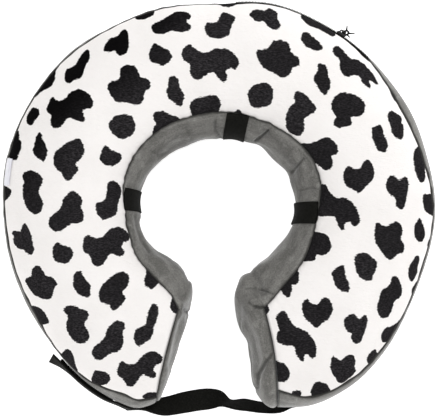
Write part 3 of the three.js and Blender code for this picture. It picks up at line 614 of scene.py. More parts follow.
     (373.5, 275), (372, 280), (369.5, 281.5), (363.5, 280), (359, 277.5), (356, 271.5), (354.5, 265),
     (354, 259), (356, 255)],
    [(343.5, 265.5), (345, 267), (345, 272), (346.5, 278.5), (349.5, 283.5), (350, 289), (347.5, 292.5),
     (342, 291), (337.5, 289), (334.5, 283.5), (332.5, 278), (331.5, 274), (333, 269.5), (338, 266.5)],
    [(416.5, 255), (419.5, 256.5), (419.5, 261), (417.5, 266.5), (417.5, 273), (415, 277.5), (412.5, 281.5),
     (410.5, 281.5), (408.5, 278), (408, 271), (409, 265.5), (412, 262), (413.5, 258.5)],
    [(393.5, 275), (397, 277), (399.5, 280), (401, 284.5), (402.5, 290), (401.5, 295), (399, 298.5),
     (395.5, 300.5), (393.5, 303.5), (392.5, 309), (390.5, 313.5), (388, 317), (384.5, 318.5), (381, 318),
     (378.5, 314), (376.5, 309.5), (378, 303), (379.5, 297), (381, 291.5), (383, 288.5), (387, 287),
     (390, 284.5), (391, 279)],
    [(420, 278), (421, 282), (417, 290), (413, 298), (411, 292), (413, 286.5), (416, 282)],
    [(307, 298), (310, 302), (315, 305.5), (319, 303.5), (321, 299.5), (325.5, 297), (329.5, 299),
     (332, 303.5), (333, 309), (331.5, 314), (329, 318.5), (324.5, 321.5), (320, 325.5), (317, 328),
     (314.5, 327), (311, 323.5), (306, 320), (303, 314.5), (301.5, 308.5), (302.5, 302.5)],
    [(352, 313.5), (355.5, 315), (358.5, 319), (361, 318.5), (363, 314.5), (366, 315), (368, 319), (367, 325),
     (365, 331), (363, 337), (360, 342), (356, 344.5), (352.5, 342.5), (351, 338), (351.5, 333), (349, 332),
     (346, 329.5), (344, 325.5), (343.5, 321), (346, 316.5)],
    [(402, 317), (396, 323.5), (391, 326.5), (385.5, 327.5), (382, 332), (380.5, 338), (382.5, 343),
     (388, 342), (395, 335), (401, 326)],
    [(375.5, 348.5), (376.5, 351), (379, 356), (375, 362), (369.5, 366), (366.5, 361), (367, 357),
     (370.5, 352)],
    [(332, 355.5), (336, 357), (340, 360), (343, 359), (346.5, 355.5), (350.5, 354), (354, 356), (356, 361),
     (355, 365), (354.5, 367.5), (356.5, 370.5), (353.5, 374.5), (349, 378.5), (344, 382.5), (340, 383.5),
     (337, 382), (336, 378), (333, 375), (331, 370), (330.5, 363)],
    [(284.5, 310), (287, 313.5), (289, 319), (292, 323.5), (296, 327.5), (301, 328.5), (307, 331.5),
     (312, 337), (315.5, 343.5), (317, 350.5), (316, 356), (313, 359.5), (310, 358), (308.5, 355),
     (305.5, 354), (304, 356.5), (304, 361.5), (301, 361.5), (298, 358.5), (296, 353.5), (295, 348),
     (292, 345.5), (284, 345.5), (279.5, 344), (276.5, 340), (276.5, 334.5), (279.5, 329), (277.5, 325),
     (276, 320), (276.5, 315), (280, 311.5)],
    [(272, 359), (281, 362), (287, 365.5), (290.5, 371), (289.5, 378), (285, 382), (279, 382), (271, 381),
     (270, 370)],
    [(313.5, 382.5), (320, 381.5), (326, 383), (330, 388), (331, 393), (322, 396), (312, 397.5), (310.5, 392),
     (312, 388)],
    [(295, 390.5), (300.5, 390), (301.5, 393.5), (300, 399), (295, 398), (290.5, 395.5), (292.5, 391.5)],
    [(263, 303), (267.5, 304), (270, 309.5), (268, 314), (264, 315), (260, 312), (256, 309), (257, 306)],
    [(18, 129), (19.5, 134), (19, 139.5), (21.5, 140.5), (21.5, 145), (20.5, 151), (17.5, 156.5), (17, 160.5),
     (9, 160), (9, 150), (12, 140)],
    [(3, 184), (9, 188.5), (12, 190), (11, 194), (6.5, 200.5), (2, 201)],
    [(39.5, 131.5), (42.5, 135), (42, 138.5), (45, 144), (47.5, 149), (47, 154), (45.5, 158.5), (44.5, 162),
     (41.5, 161), (37, 157.5), (33.5, 153.5), (32.5, 150), (34, 144.5), (35.5, 139), (37, 134.5)],
    [(76.5, 138), (80.5, 139), (83, 143), (85, 150), (83.5, 155), (80.5, 159), (77, 162), (75, 165),
     (78.5, 167), (79, 169.5), (76, 173), (72.5, 177.5), (69.5, 181), (65.5, 180.5), (63, 177), (62, 173),
     (58, 171), (55, 167.5), (53.5, 162), (53.5, 156), (56, 150.5), (60, 148.5), (64, 144.5), (69, 141.5)],
    [(105.5, 144.5), (108, 147.5), (112, 150), (117, 152), (121.5, 154), (122, 158.5), (119.5, 162),
     (115, 165.5), (110, 166.5), (105, 165), (100.5, 162), (99.5, 157.5), (101.5, 152), (103, 147)],
    [(25.5, 171.5), (28, 171), (31, 169), (35, 172), (39.5, 173.5), (42, 176.5), (43, 181), (41, 186),
     (38.5, 190.5), (39.5, 196), (42.5, 199.5), (43.5, 204), (42, 210), (39, 213.5), (35, 215), (31, 212.5),
     (27, 208), (24.5, 202.5), (22.5, 197), (22.5, 189.5), (23.5, 184), (24.5, 181), (22, 177.5),
     (22.5, 174)],
    [(71, 190.5), (75, 192), (80, 194.5), (82.5, 199), (81.5, 203.5), (80, 206.5), (82.5, 210), (84.5, 215.5),
     (83, 220.5), (79, 223.5), (74, 223), (69, 225), (64, 229), (60, 231.5), (56, 232), (51, 229.5),
     (48.5, 225.5), (48, 220.5), (50.5, 216.5), (55, 213), (59.5, 209.5), (61.5, 205), (63, 200), (66, 195)],
    [(112, 180.5), (116, 182), (120, 185), (121.5, 190), (121, 196), (118.5, 201.5), (118, 207.5),
     (117.5, 212), (115, 215.5), (109, 218), (104, 220.5), (101.5, 219.5), (99, 216.5), (96.5, 214),
     (95.5, 208), (96, 203), (100, 202), (104, 201), (106, 197), (107, 191), (107, 185), (108.5, 182)],
    [(24, 222.5), (26.5, 224.5), (29.5, 230), (31.5, 236), (33, 243), (34.5, 250), (32.5, 254), (30, 255.5),
     (26.5, 253), (23.5, 249), (20, 249.5), (16.5, 247.5), (14, 243.5), (12.5, 239.5), (14.5, 235), (11, 234),
     (13, 231), (17, 230.5), (20.5, 232), (21.5, 226.5)],
    [(56.5, 242), (60, 244), (64, 246), (69, 247), (72.5, 249.5), (73.5, 252.5), (72, 258), (69, 262),
     (65, 264), (59, 263), (54.5, 261), (52.5, 256), (52.5, 250), (53.5, 245.5)],
    [(117.5, 226.5), (121.5, 227.5), (126, 230.5), (129, 234.5), (129.5, 239.5), (127, 241.5), (123.5, 242),
     (121.5, 245), (122, 249), (125.5, 251), (124, 255), (120, 256.5), (115, 255), (112.5, 253), (109.5, 254),
     (107, 258), (104.5, 263), (100, 266.5), (95.5, 266.5), (92, 263), (90.5, 258), (88.5, 254), (85, 253),
     (82.5, 249), (82.5, 243.5), (84, 238), (87.5, 234.5), (91.5, 236.5), (96, 238.5), (101, 238),
     (104.5, 235), (108, 230.5), (112, 228)],
    [(80, 270), (82, 273), (84.5, 278), (88, 282), (91, 285.5), (90, 291), (90.5, 295.5), (88, 297.5),
     (84, 296.5), (80, 295.5), (76, 291.5), (73, 287), (73, 282), (74, 279), (72.5, 274.5), (76, 272)],
    [(121, 271), (126, 272.5), (129, 276.5), (129.5, 281.5), (127.5, 286), (124, 290), (122, 293),
     (124.5, 294.5), (125.5, 298), (123.5, 303), (119.5, 307), (116, 310.5), (111, 310.5), (110, 307),
     (110.5, 304), (106, 304.5), (101.5, 302.5), (99, 299), (98.5, 294.5), (99.5, 289.5), (102, 284.5),
     (106.5, 280.5), (111, 277), (116, 273.5)],
    [(36.5, 265), (40, 266.5), (43, 270.5), (45.5, 276), (50, 276.5), (54.5, 278.5), (57.5, 284), (55.5, 287),
     (53.5, 288.5), (53.5, 293), (52, 297.5), (48.5, 300), (43.5, 299), (38, 297), (33.5, 294.5), (30, 290),
     (27, 285), (24.5, 280), (26.5, 277.5), (31, 277), (31.5, 271.5), (33, 267)],
    [(34, 305.5), (39, 307.5), (43.5, 310.5), (46.5, 316), (49, 320), (50, 323), (45.5, 324.5), (40, 325),
     (33, 318), (26, 309), (28, 305.5)],
    [(72, 305.5), (77, 306), (80.5, 308.5), (85, 309.5), (88.5, 312), (89.5, 315.5), (87.5, 319),
     (84.5, 322.5), (84.5, 325.5), (87.5, 329.5), (90, 335), (88.5, 340), (84.5, 343), (80, 344.5),
     (76, 342.5), (71.5, 338.5), (68, 333), (66, 327.5), (66.5, 321.5), (68.5, 316.5), (65.5, 313.5),
     (63, 310.5), (64.5, 307), (68, 305.5)],
    [(119.5, 320.5), (123, 321.5), (125.5, 324.5), (124.5, 330), (122, 334.5), (124.5, 339), (123, 345.5),
     (120.5, 350), (116.5, 352.5), (111, 353), (106.5, 356), (103, 359.5), (98.5, 360.5), (94, 358),
     (91.5, 353.5), (92.5, 348.5), (96, 345), (101, 342), (104, 338), (106, 333.5), (108, 328), (112, 323.5),
     (116, 321)],
    [(154, 303), (158.5, 306.5), (158.5, 311.5), (157.5, 317.5), (155.5, 323.5), (153.5, 328.5), (153, 335),
     (150.5, 339.5), (145.5, 342.5), (141, 345.5), (138.5, 346.5), (135.5, 343.5), (133.5, 338.5), (134, 333),
     (136.5, 328.5), (140, 327), (144.5, 326), (146.5, 321), (147, 315.5), (149, 309.5), (151, 305)],
    [(153.5, 350.5), (158, 352.5), (161.5, 356), (163.5, 360), (160, 364), (156.5, 365.5), (153.5, 368),
     (154.5, 372), (156.5, 374), (155, 378), (150.5, 377.5), (146, 376), (143.5, 374.5), (140.5, 376),
     (138.5, 380), (135, 384.5), (131.5, 387), (127.5, 386.5), (125, 383.5), (123.5, 379.5), (121, 377.5),
     (118.5, 376), (116.5, 371.5), (118, 366), (120, 362.5), (122.5, 361), (126, 363), (130, 364.5),
     (135, 363.5), (138.5, 360.5), (142.5, 355.5), (147.5, 352)],
    [(97, 369), (99.5, 371.5), (104, 371), (108, 373.5), (110.5, 377.5), (109.5, 381.5), (106.5, 384.5),
     (102, 385.5), (96, 384.5), (92, 382.5), (91, 379), (92.5, 374.5), (94.5, 370.5)],
    [(67, 348.5), (70.5, 350), (73.5, 355), (74.5, 361), (76.5, 367), (79, 374), (72, 371), (64, 362),
     (60, 355), (64, 351)],
    [(115, 391), (117, 392), (118.5, 397), (112, 397), (112.5, 392)],
    [(148, 392.5), (153, 392), (159, 393), (160, 399), (150, 400), (141, 398), (144, 394)],
    [(146, 268), (150, 270), (158, 275), (161, 281), (157, 284.5), (154, 288), (150.5, 289), (146, 286.5),
     (144, 284), (144.5, 279), (146, 275)],
    [(173.5, 295), (179, 299), (184, 304), (187, 310), (185, 313), (181, 313), (176, 314), (171.5, 311.5),
     (169.5, 307), (171, 301)],
    [(298, 267), (298.5, 274), (299.5, 279), (298, 283.5), (295, 285), (291.5, 284.5), (292, 289),
     (291.5, 293.5), (289, 297.5), (285.5, 297), (282.5, 293), (279, 288), (284, 280), (291, 271)],
]
# How far from a spot its distance is worked out, and how often its corners are cut.
chart = {"reach": 5.0, "rounds": 2}


def cutCorners(corners):
    # A smoother ring: every side is cut at a quarter and at three quarters of its length.
    after = np.roll(corners, -1, axis=0)
    return np.stack([0.75 * corners + 0.25 * after, 0.25 * corners + 0.75 * after], 1).reshape(-1, 2)


def spotDistance(points):
    # Distance inside the nearest spot's edge in millimetres, less than zero outside, found on the picture.
    # A point is inside where a line to its right crosses the ring an odd number of times.
    place = onPicture(points).reshape(-1, 2)
    found = np.full(len(place), -chart["reach"])
    for spot in spots:
        edge = np.array(spot, float)
        for _ in range(chart["rounds"]):
            edge = cutCorners(edge)
        near = np.all((place > edge.min(0) - chart["reach"]) & (place < edge.max(0) + chart["reach"]), axis=1)
        p, a, b = place[near][:, None], edge, np.roll(edge, -1, axis=0)
        t = np.clip(((p - a) * (b - a)).sum(-1) / np.maximum(((b - a) ** 2).sum(-1), 1e-9), 0, 1)
        far = np.sqrt(((a + t[..., None] * (b - a) - p) ** 2).sum(-1)).min(1)
        crosses = (a[:, 1] > p[..., 1]) != (b[:, 1] > p[..., 1])
        rise = np.where(np.abs(b[:, 1] - a[:, 1]) < 1e-9, 1e-9, b[:, 1] - a[:, 1])
        right = p[..., 0] < a[:, 0] + (p[..., 1] - a[:, 1]) / rise * (b[:, 0] - a[:, 0])
        inside = (crosses & right).sum(1) % 2 == 1
        found[near] = np.maximum(found[near], np.where(inside, far, -far))
    return (found * view["unit"] * 1000).reshape(points.shape[:-1])


# The cover's cloth. roll is how wide an edge rounds over into its seam, and tuck how far the cloth then turns
# in. Each piece has its own dip at the seam, depth of gathers there, and unevenness with its length of wave,
# drawn out up the section. middle is the radius that turns azimuths into lengths.
cloth = {"roll": 0.006, "tuck": 0.004, "gatherPitch": 0.009, "gatherDrawn": 0.3}


def rolled(seam, dip):
    # How far cloth lies below the cover at a distance from its seam: a parabola that ends after the roll.
    return -dip * (1 - np.clip(seam / cloth["roll"], 0, 1)) ** 2


def clothRelief(piece, seam, length, up):
    # How far cloth stands off the cover: its roll, gathers that fade away from the seam, waves that fade
    # towards it.
    near = np.exp(-seam / cloth["roll"])
    gathers = piece["gather"] * ripple(length, up * cloth["gatherDrawn"], cloth["gatherPitch"], piece["seed"])
    waves = piece["uneven"] * ripple(length, up * piece["drawn"], piece["wave"], piece["seed"] + 1)
    return rolled(seam, piece["dip"]) + near * gathers + (1 - near) * waves


def onCover(piece, azimuths, sideFrom, sideTo):
    # A grid on the cover between two lines of section angles: its angles, points, ways out and lengths.
    azimuth = azimuths[:, None]
    start, stop = sideFrom(azimuth), sideTo(azimuth)
    side = start + (stop - start) * np.linspace(0, 1, piece["cells"] + 1)
    points = coverPoint(azimuth, side)
    up = runs(points, 1)
    return side, points, coverOut(azimuth, side), up, np.radians(azimuth) * piece["middle"] + 0 * up


def clothPanel(piece, sideFrom, sideTo):
    # A grid on the cover with its relief, and two rows more that turn in at each edge.
    azimuths = azimuthsFor(piece["columns"], endTrim)
    _, points, out, up, length = onCover(piece, azimuths, sideFrom, sideTo)
    lengthwise = runs(points, 0)
    seam = np.minimum(np.minimum(up, up[:, -1:] - up), np.minimum(lengthwise, lengthwise[-1:] - lengthwise))
    points = points + out * clothRelief(piece, seam, length, up)[..., None]
    tuck = np.array([1.0, 0.5]) * cloth["tuck"]
    wide = ((2, 2), (2, 2))
    points, out = np.pad(points, wide + ((0, 0),), "edge"), np.pad(out, wide + ((0, 0),), "edge")
    inRows = np.concatenate([tuck, np.zeros(len(azimuths)), tuck[::-1]])
    inCols = np.concatenate([tuck, np.zeros(piece["cells"] + 1), tuck[::-1]])
    points = points - out * np.maximum(inRows[:, None], inCols[None, :])[..., None]
    uv = np.stack([np.pad(length, wide, "edge"), np.pad(up, wide, "edge")], -1)
    return {"points": points, "uv": uv, "seam": np.pad(seam, wide, "edge") * 1000}


def azimuthsFor(count, trim=0.0):
    # Azimuths from end to end, in degrees.
    return np.linspace(rightEnd + trim, leftEnd - trim, count)


endTrim = math.degrees(ring["seamGap"] / ring["middleRadius"])
# The zip's opening in the rim seam: its azimuths, and half its width.
slit = {"from": 45, "to": 85, "half": 0.0028}


def slitHalf(azimuth):
    # Half the slit at the rim seam: wide over the zip, and closing in a degree at each of its ends.
    opened = np.clip(np.minimum(azimuth - slit["from"] + 1, slit["to"] + 1 - azimuth), 0, 1)
    return ring["seamGap"] / 2 + opened * (slit["half"] - ring["seamGap"] / 2)


def neckEdge(sign):
    # A panel's edge at the neck seam: the seam's section angle, less or more half the gap.
    return lambda azimuth: neckSeam(azimuth) + sign * turnFor(azimuth, neckSeam(azimuth), ring["seamGap"] / 2)


def rimEdge(sign):
    # The same at the rim seam, where the gap is the slit.
    return lambda azimuth: rimSeam(azimuth) + sign * turnFor(azimuth, rimSeam(azimuth), slitHalf(azimuth))


printedPanel = {"columns": 740, "cells": 112, "dip": 0.0016, "gather": 0.00035, "uneven": 0.0005, "drawn": 1,
                "wave": 0.05, "seed": 3, "middle": 0.13, "steepest": 0.35}


def makePrintedPanel():
    # The spots' distances are divided by the slope's rise, because they were found on the picture.
    grid = clothPanel(printedPanel, rimEdge(1), neckEdge(-1))
    rise = unit(np.cross(np.gradient(grid["points"], axis=0), np.gradient(grid["points"], axis=1)))[..., 2]
    grid["spot"] = spotDistance(grid["points"]) / np.clip(np.abs(rise), printedPanel["steepest"], 1)
    piece = makeMesh("spotted_top", [grid], spottedPlush)
    settle(piece, "spotted_plush", "front_panel")


greyBack = {"columns": 560, "cells": 96, "dip": 0.0004, "gather": 0.00035, "uneven": 0.0008, "drawn": 1,
            "wave": 0.05, "seed": 11, "middle": 0.13}


def makeGreyBack():
    # From the gusset's lower seam, a whole turn less the neck's angle, on round below to the rim.
    grid = clothPanel(greyBack, lambda a: 2 * np.pi - neckEdge(-1)(a), lambda a: 2 * np.pi + rimEdge(-1)(a))
    grid["points"][..., 2] = np.maximum(grid["points"][..., 2], 0)
    piece = makeMesh("grey_back", [grid], greyVelveteen)
    settle(piece, "grey_velveteen", "back_panel")


# The grey gusset: a strip round the neck that runs on over both end faces. carried is how far a face takes up
# the strip's unevenness, and calm and seamCalm how far from its edges its own waves and creases begin.
gusset = {"columns": 620, "cells": 84, "dip": 0.0016, "gather": 0.00056, "uneven": 0.0009, "drawn": 1.6,
          "wave": 0.04, "seed": 21, "middle": 0.075, "faceRows": 64, "faceCells": 190, "faceWave": 0.05,
          "carried": 0.008, "calm": 0.012, "seamCalm": 0.004, "lowest": 0.0003}
hemTuck = np.array([1.0, 0.5, 0.0]) * cloth["tuck"]
# Its creases, charted on the picture: depth and width in metres, then the places that each crease
# runs through.
creases = [
    (0.0024, 0.0014, [(255, 142), (261, 137), (268, 130.3)]),
    (0.0018, 0.0014, [(291.5, 172.5), (297.5, 166), (304, 158.5)]),
    (0.001, 0.0012, [(301, 190.5), (309.5, 188), (318, 189)]),
    (0.0024, 0.01, [(263, 150), (272, 158), (283, 170)]),
    (0.0009, 0.0022, [(283, 163), (288, 156), (291, 147)]),
    (0.0014, 0.002, [(215.5, 120.5), (215, 129), (220, 137)]),
    (0.0009, 0.002, [(186, 128), (191, 136), (190, 142)]),
    (0.0009, 0.002, [(150, 150), (158, 156), (168, 152)]),
    (0.0008, 0.0022, [(130, 180), (137, 172), (140, 164)]),
    (0.0012, 0.002, [(135, 216), (137, 228), (141, 240), (149, 252)]),
    (0.001, 0.0025, [(142, 222), (150, 240), (160, 253), (172, 262)]),
    (0.0012, 0.003, [(160, 268), (168, 280), (174, 292), (186, 303)]),
    (0.0018, 0.0016, [(183, 308), (186, 311.5), (190, 313)]),
    (0.0014, 0.003, [(181, 322), (176, 336), (174, 352), (170, 366)]),
    (0.0016, 0.0012, [(246, 288.5), (257.5, 288.5), (266, 291.3), (273, 294)]),
    (0.0018, 0.0015, [(249, 302.5), (253.5, 306), (257, 307)]),
    (0.0028, 0.0016, [(256, 306.5), (260, 307.5), (265, 307)]),
    (0.0056, 0.0105, [(245, 343), (247, 352), (249, 360)]),
    (0.0022, 0.002, [(274, 352), (265, 363), (258.5, 374.5), (257, 388)]),
    (0.001, 0.003, [(296, 236), (290, 252), (280, 268), (268, 280)]),
    (0.0009, 0.003, [(304, 232), (300, 246), (292, 262)]),
]
# The ridge's share of a crease, the height in metres that creases end at and how far above it they fade, the
# widest that is fine enough to take painted shade, the depth of one that takes it in full, and the seam
# distance in millimetres that leaves cloth clear of it.
press = {"ridge": 0.08, "low": 0.02, "fade": 0.025, "fine": 0.002, "dark": 0.0025, "clear": 2.4}


def pressed(points, widest=1.0):
    # How far creases press the cloth in: bells across lines seen on the picture, with a low ridge beside
    # each, that fade on the lower half of the ring.
    place = onPicture(points)
    total = 0.0
    for depth, width, line in creases:
        if width > widest:
            continue
        line = np.array(line, float)
        a, b = line[:-1], line[1:]
        p = place[..., None, :]
        t = np.clip(((p - a) * (b - a)).sum(-1) / ((b - a) ** 2).sum(-1), 0, 1)
        far = np.linalg.norm(a + t[..., None] * (b - a) - p, axis=-1).min(-1) * view["unit"]
        ridge = press["ridge"] * np.exp(-(((far - 2 * width) / width) ** 2))
        total = total + depth * (np.exp(-((far / width) ** 2)) - ridge)
    return total * np.clip((points[..., 2] - press["low"]) / press["fade"], 0, 1)


def pressIn(points, ways):
    # The points moved back along their ways out, by the creases' depth.
    return points - ways * pressed(points)[..., None]


def darkened(points, seam):
    # Sharp creases hold the shade of a seam: seam is the distance from one, in millimetres.
    dark = np.clip(pressed(points, press["fine"]) / press["dark"], 0, 1)
    return np.minimum(seam, press["clear"] - 2 * dark)


def gussetFrom(azimuth):
    # The strip starts at the upper neck seam.
    return neckEdge(1)(azimuth)


def gussetTo(azimuth):
    # It ends at the lower one, which mirrors it.
    return 2 * np.pi - neckEdge(1)(azimuth)


def makeGusset():
    # A strip like the cloth panels', with its creases pressed in, hems that turn in at both of its seams, and
    # a face at each end.
    side, points, out, up, length = onCover(gusset, azimuthsFor(gusset["columns"]), gussetFrom, gussetTo)
    seam = np.minimum(up, up[:, -1:] - up)
    points = pressIn(points + out * clothRelief(gusset, seam, length, up)[..., None], out)
    strip = {"points": points, "uv": np.stack([length, up], -1), "seam": darkened(points, seam * 1000)}
    grids = [strip]
    for edge, flip in ((0, 1), (-1, -1)):
        rows = points[:, edge][:, None] - out[:, edge][:, None] * hemTuck[::flip][None, :, None]
        uv = np.repeat(strip["uv"][:, edge][:, None], len(hemTuck), 1)
        grids.append({"points": rows, "uv": uv, "seam": np.zeros(rows.shape[:2])})
    for (end, turned, bulge, droop), edge in zip(ends, (0, -1)):
        grids += endFace(end, turned, bulge, droop, points[edge] - coverPoint(end, side[edge]), side[edge])
    piece = makeMesh("grey_gusset", grids, greyVelveteen, merge=True)
    settle(piece, "grey_velveteen", "neck_gusset")


def bulgeRows(end, turned, bulge, droop, section, rows):
    # Copies of an end section that shrink towards its middle as they stand out, by a squared-up quarter
    # circle, and stand out less towards the rim.
    rim, neck = coverPoint(end, 0.0), coverPoint(end, np.pi)
    middle = (rim + neck) / 2
    middle[2] = (ring["height"] * along("height", np.array(end)) - ring["sag"]) / 2
    across = unit(rim - neck)
    away = np.array([-across[1], across[0], 0]) * turned
    a = np.linspace(0, np.pi / 2, rows + 1)[:, None]
    shrink, stand = np.cos(a) ** (2 / ring["bulgeFullness"]), bulge * np.sin(a) ** (2 / ring["bulgeFullness"])
    shrink[-1] = 0
    points = middle + (section - middle) * shrink[..., None]
    toRim = (points - neck) @ across / np.linalg.norm(rim - neck)
    return points + away * (stand * (1 - droop * toRim))[..., None], shrink, away


def endFace(end, turned, bulge, droop, moved, inner):
    # The face that closes an arm. Its first row takes up the strip's own unevenness, which fades inwards, and
    # rolls into the panels' seams elsewhere, where a hem turns in.
    outer = np.linspace(gussetTo(end), gussetFrom(end) + 2 * np.pi, gusset["faceCells"] + 1)
    angles = np.concatenate([inner, outer[1:]])
    section, out = coverPoint(end, angles), coverOut(end, angles)
    points, shrink, away = bulgeRows(end, turned, bulge, droop, section, gusset["faceRows"])
    run = runs(points, 0)
    isOuter = np.arange(len(angles)) > len(inner) - 1
    dip = rolled(run, gusset["dip"]) * isOuter
    fromStrip = np.zeros_like(section)
    fromStrip[: len(inner)] = moved
    fromStrip[-1] = moved[0]
    points = points + out * dip[..., None] * (1 - (np.abs(fromStrip).sum(-1) > 0))[None, :, None]
    points = points + fromStrip * np.exp(-((run / gusset["carried"]) ** 2))[..., None]
    calm = np.clip(run / gusset["calm"], 0, 1)
    wavy = ripple(section[:, 0] + run, section[:, 2] + run, gusset["faceWave"], gusset["seed"] + turned)
    points = points + away * (gusset["uneven"] * wavy * calm * np.clip(shrink * 3, 0, 1))[..., None]
    calm = np.where(isOuter, np.clip(run / gusset["seamCalm"], 0, 1), calm)
    points = points + (pressIn(points, away) - points) * calm[..., None]
    points[..., 2] = np.maximum(points[..., 2], gusset["lowest"])
    uv = np.stack([angles * gusset["faceWave"] + 0 * run, run], -1)
    seam = darkened(points, np.where(isOuter, run, 0.02) * 1000)
    face = {"points": points, "uv": uv, "seam": seam}
    cols = slice(len(inner) - 1, None)
    hem = points[0][None, cols] - out[None, cols] * hemTuck[:, None, None]
    hem = {"points": hem, "uv": np.repeat(uv[:1, cols], len(hemTuck), 0), "seam": np.zeros(hem.shape[:2])}
    grids = [face, hem]
    if turned < 0:
        for g in grids:
            for key in g:
                g[key] = g[key][::-1]
    return grids


# Bands that lie on the cover or run free: a flat profile with round edges, carried along a path.
def bandProfile(width, thickness, cells):
    # The profile once round, from its top edge: points across, then up, in metres.
    flat = np.linspace(-1, 1, cells + 1) * (width - thickness) / 2
    turn = np.linspace(np.pi / 2, -np.pi / 2, 5)[1:-1]
    right = (width - thickness) / 2 + np.cos(turn) * thickness / 2, np.sin(turn) * thickness / 2
    across = np.concatenate([flat, right[0], flat[::-1], -right[0]])
    up = np.concatenate([0 * flat + thickness / 2, right[1], 0 * flat - thickness / 2, -right[1]])
    return across, up


def capped(points):
    # Closes a tube of rows with a point at each end.
    first, last = points[:1].mean(1, keepdims=True), points[-1:].mean(1, keepdims=True)
    size = points.shape[1]
    return np.concatenate([np.repeat(first, size, 1), points, np.repeat(last, size, 1)])


def bandGrid(points, lengths, across):
    # A closed tube whose own lengths run along it and across its profile.
    uv = np.stack(np.broadcast_arrays(lengths[:, None], across[None, :]), -1)
    uv = np.concatenate([uv[:1], uv, uv[-1:]])
    return {"points": capped(points), "uv": uv, "loops": True}


loops = {"width": 0.02, "thickness": 0.0014, "lift": 0.0003, "cells": 16, "rows": 60, "endDip": 0.0016,
         "endReach": 0.0025, "at": {"right": -1.6, "top": 77.5, "left": 173}}


def makeLoops():
    # Each loop follows the gusset from one neck seam to the other, and turns in at both.
    across, up = bandProfile(loops["width"], loops["thickness"], loops["cells"])
    for name, at in loops["at"].items():
        side = np.linspace(gussetFrom(at), gussetTo(at), loops["rows"] + 1)
        middle = coverPoint(at, side)
        radius = np.hypot(middle[:, 0] - ring["axis"][0], middle[:, 1] - ring["axis"][1])
        azimuth = at + np.degrees(across[None, :] / radius[:, None])
        run = runs(middle, 0)
        dipped = loops["endDip"] * np.exp(-np.minimum(run, run[-1] - run) / loops["endReach"])
        height = loops["lift"] + loops["thickness"] / 2 + up[None, :] - dipped[:, None]
        points = coverPoint(azimuth, side[:, None]) + coverOut(azimuth, side[:, None]) * height[..., None]
        piece = makeMesh(name + "_loop", [bandGrid(points, run, across)], blackWebbing, recalc=True)
        settle(piece, "black_webbing", "collar_loop_" + name)


def plate(name, azimuths, line, below, above, lift, thickness, cells, material, crown=0.0):
    # A thin plate that follows the cover along a line of section angles, from below it to above it, and waves
    # up and down by the crown's height.
    across, up = bandProfile(above - below, thickness, cells)
    azimuth = azimuths[:, None]
    start = line(azimuth)
    side = start + turnFor(azimuth, start, (below + above) / 2 + across[None, :])
    waves = crown * np.sin(np.linspace(0, 3 * np.pi, len(azimuths)))
    height = lift + thickness / 2 + up[None, :] + waves[:, None]
    points = coverPoint(azimuth, side) + coverOut(azimuth, side) * height[..., None]
    run = runs(points[:, :1], 0)[:, 0]
    return makeMesh(name, [bandGrid(points, run, across)], material, recalc=True)


# lean and ease are the left rows' own: how far each tips in, in degrees, and how far it stands off.
strap = {"width": 0.02, "thickness": 0.002, "patchThickness": 0.0015, "lay": 0.0003, "steps": 260,
         "cells": 14, "lean": (26, 12, 6, 6, 6, 6, 7, 8),
         "ease": (0.004, 0.001, 0, 0, 0, -0.0003, -0.0017, -0.0019)}
# Where the strap lies on the left and right arms, and its slack stretch: x and y as shares of rimRadius from
# the neck's axis, z of the ring's height, and the webbing's slope in degrees.
strapLeft = {"from": 221.5, "to": 244.5, "side": 0, "toSide": 0, "rows": 7, "patchFrom": 223.5,
             "patchTo": 240}
strapRight = {"from": -64, "to": -52, "side": -28, "toSide": -40, "rows": 3}
strapSlack = np.array([
    (-0.33, -0.908, 0.36, 108),
    (-0.235, -0.9, 0.24, 146),
    (-0.15, -0.882, 0.23, 164),
    (-0.06, -0.868, 0.22, 166),
    (0.005, -0.867, 0.23, 142),
    (0.06, -0.888, 0.24, 110),
    (0.13, -0.893, 0.26, 120),
    (0.21, -0.905, 0.26, 117),
    (0.29, -0.905, 0.24, 115),
])


def smoothLine(rows, steps):
    # A smooth line through rows of points. Each stretch is a cubic, timed by the square roots of the gaps.
    rows = np.concatenate([2 * rows[:1] - rows[1:2], rows, 2 * rows[-1:] - rows[-2:-1]])
    at = np.linspace(0, len(rows) - 3, steps + 1)
    i = np.minimum(at.astype(int), len(rows) - 4)
    u = (at - i)[:, None]
    p0, p1, p2, p3 = rows[i], rows[i + 1], rows[i + 2], rows[i + 3]
    pairs = ((p0, p1), (p1, p2), (p2, p3))
    d0, d1, d2 = (np.maximum(np.sqrt(np.linalg.norm(b - a, axis=1, keepdims=True)), 1e-6) for a, b in pairs)
    t1 = ((p1 - p0) / d0 - (p2 - p0) / (d0 + d1) + (p2 - p1) / d1) * d1
    t2 = ((p2 - p1) / d1 - (p3 - p1) / (d1 + d2) + (p3 - p2) / d2) * d1
    return p1 + t1 * u + (3 * (p2 - p1) - 2 * t1 - t2) * u**2 + (2 * (p1 - p2) + t1 + t2) * u**3


def upAt(azimuth, side):
    # The way up the section on the cover.
    step = 0.02
    return unit(coverPoint(azimuth, side + step) - coverPoint(azimuth, side - step))


def heldRows(arm, lift, ease):
    # Rows that lie on the cover over an arm, and the way up at each.
    azimuth = np.linspace(arm["from"], arm["to"], arm["rows"] + 1)
    side = np.radians(np.linspace(arm["side"], arm["toSide"], arm["rows"] + 1))
    away = lift + strap["thickness"] / 2 + np.array(ease) + 0 * azimuth
    return coverPoint(azimuth, side) + coverOut(azimuth, side) * away[:, None], upAt(azimuth, side)


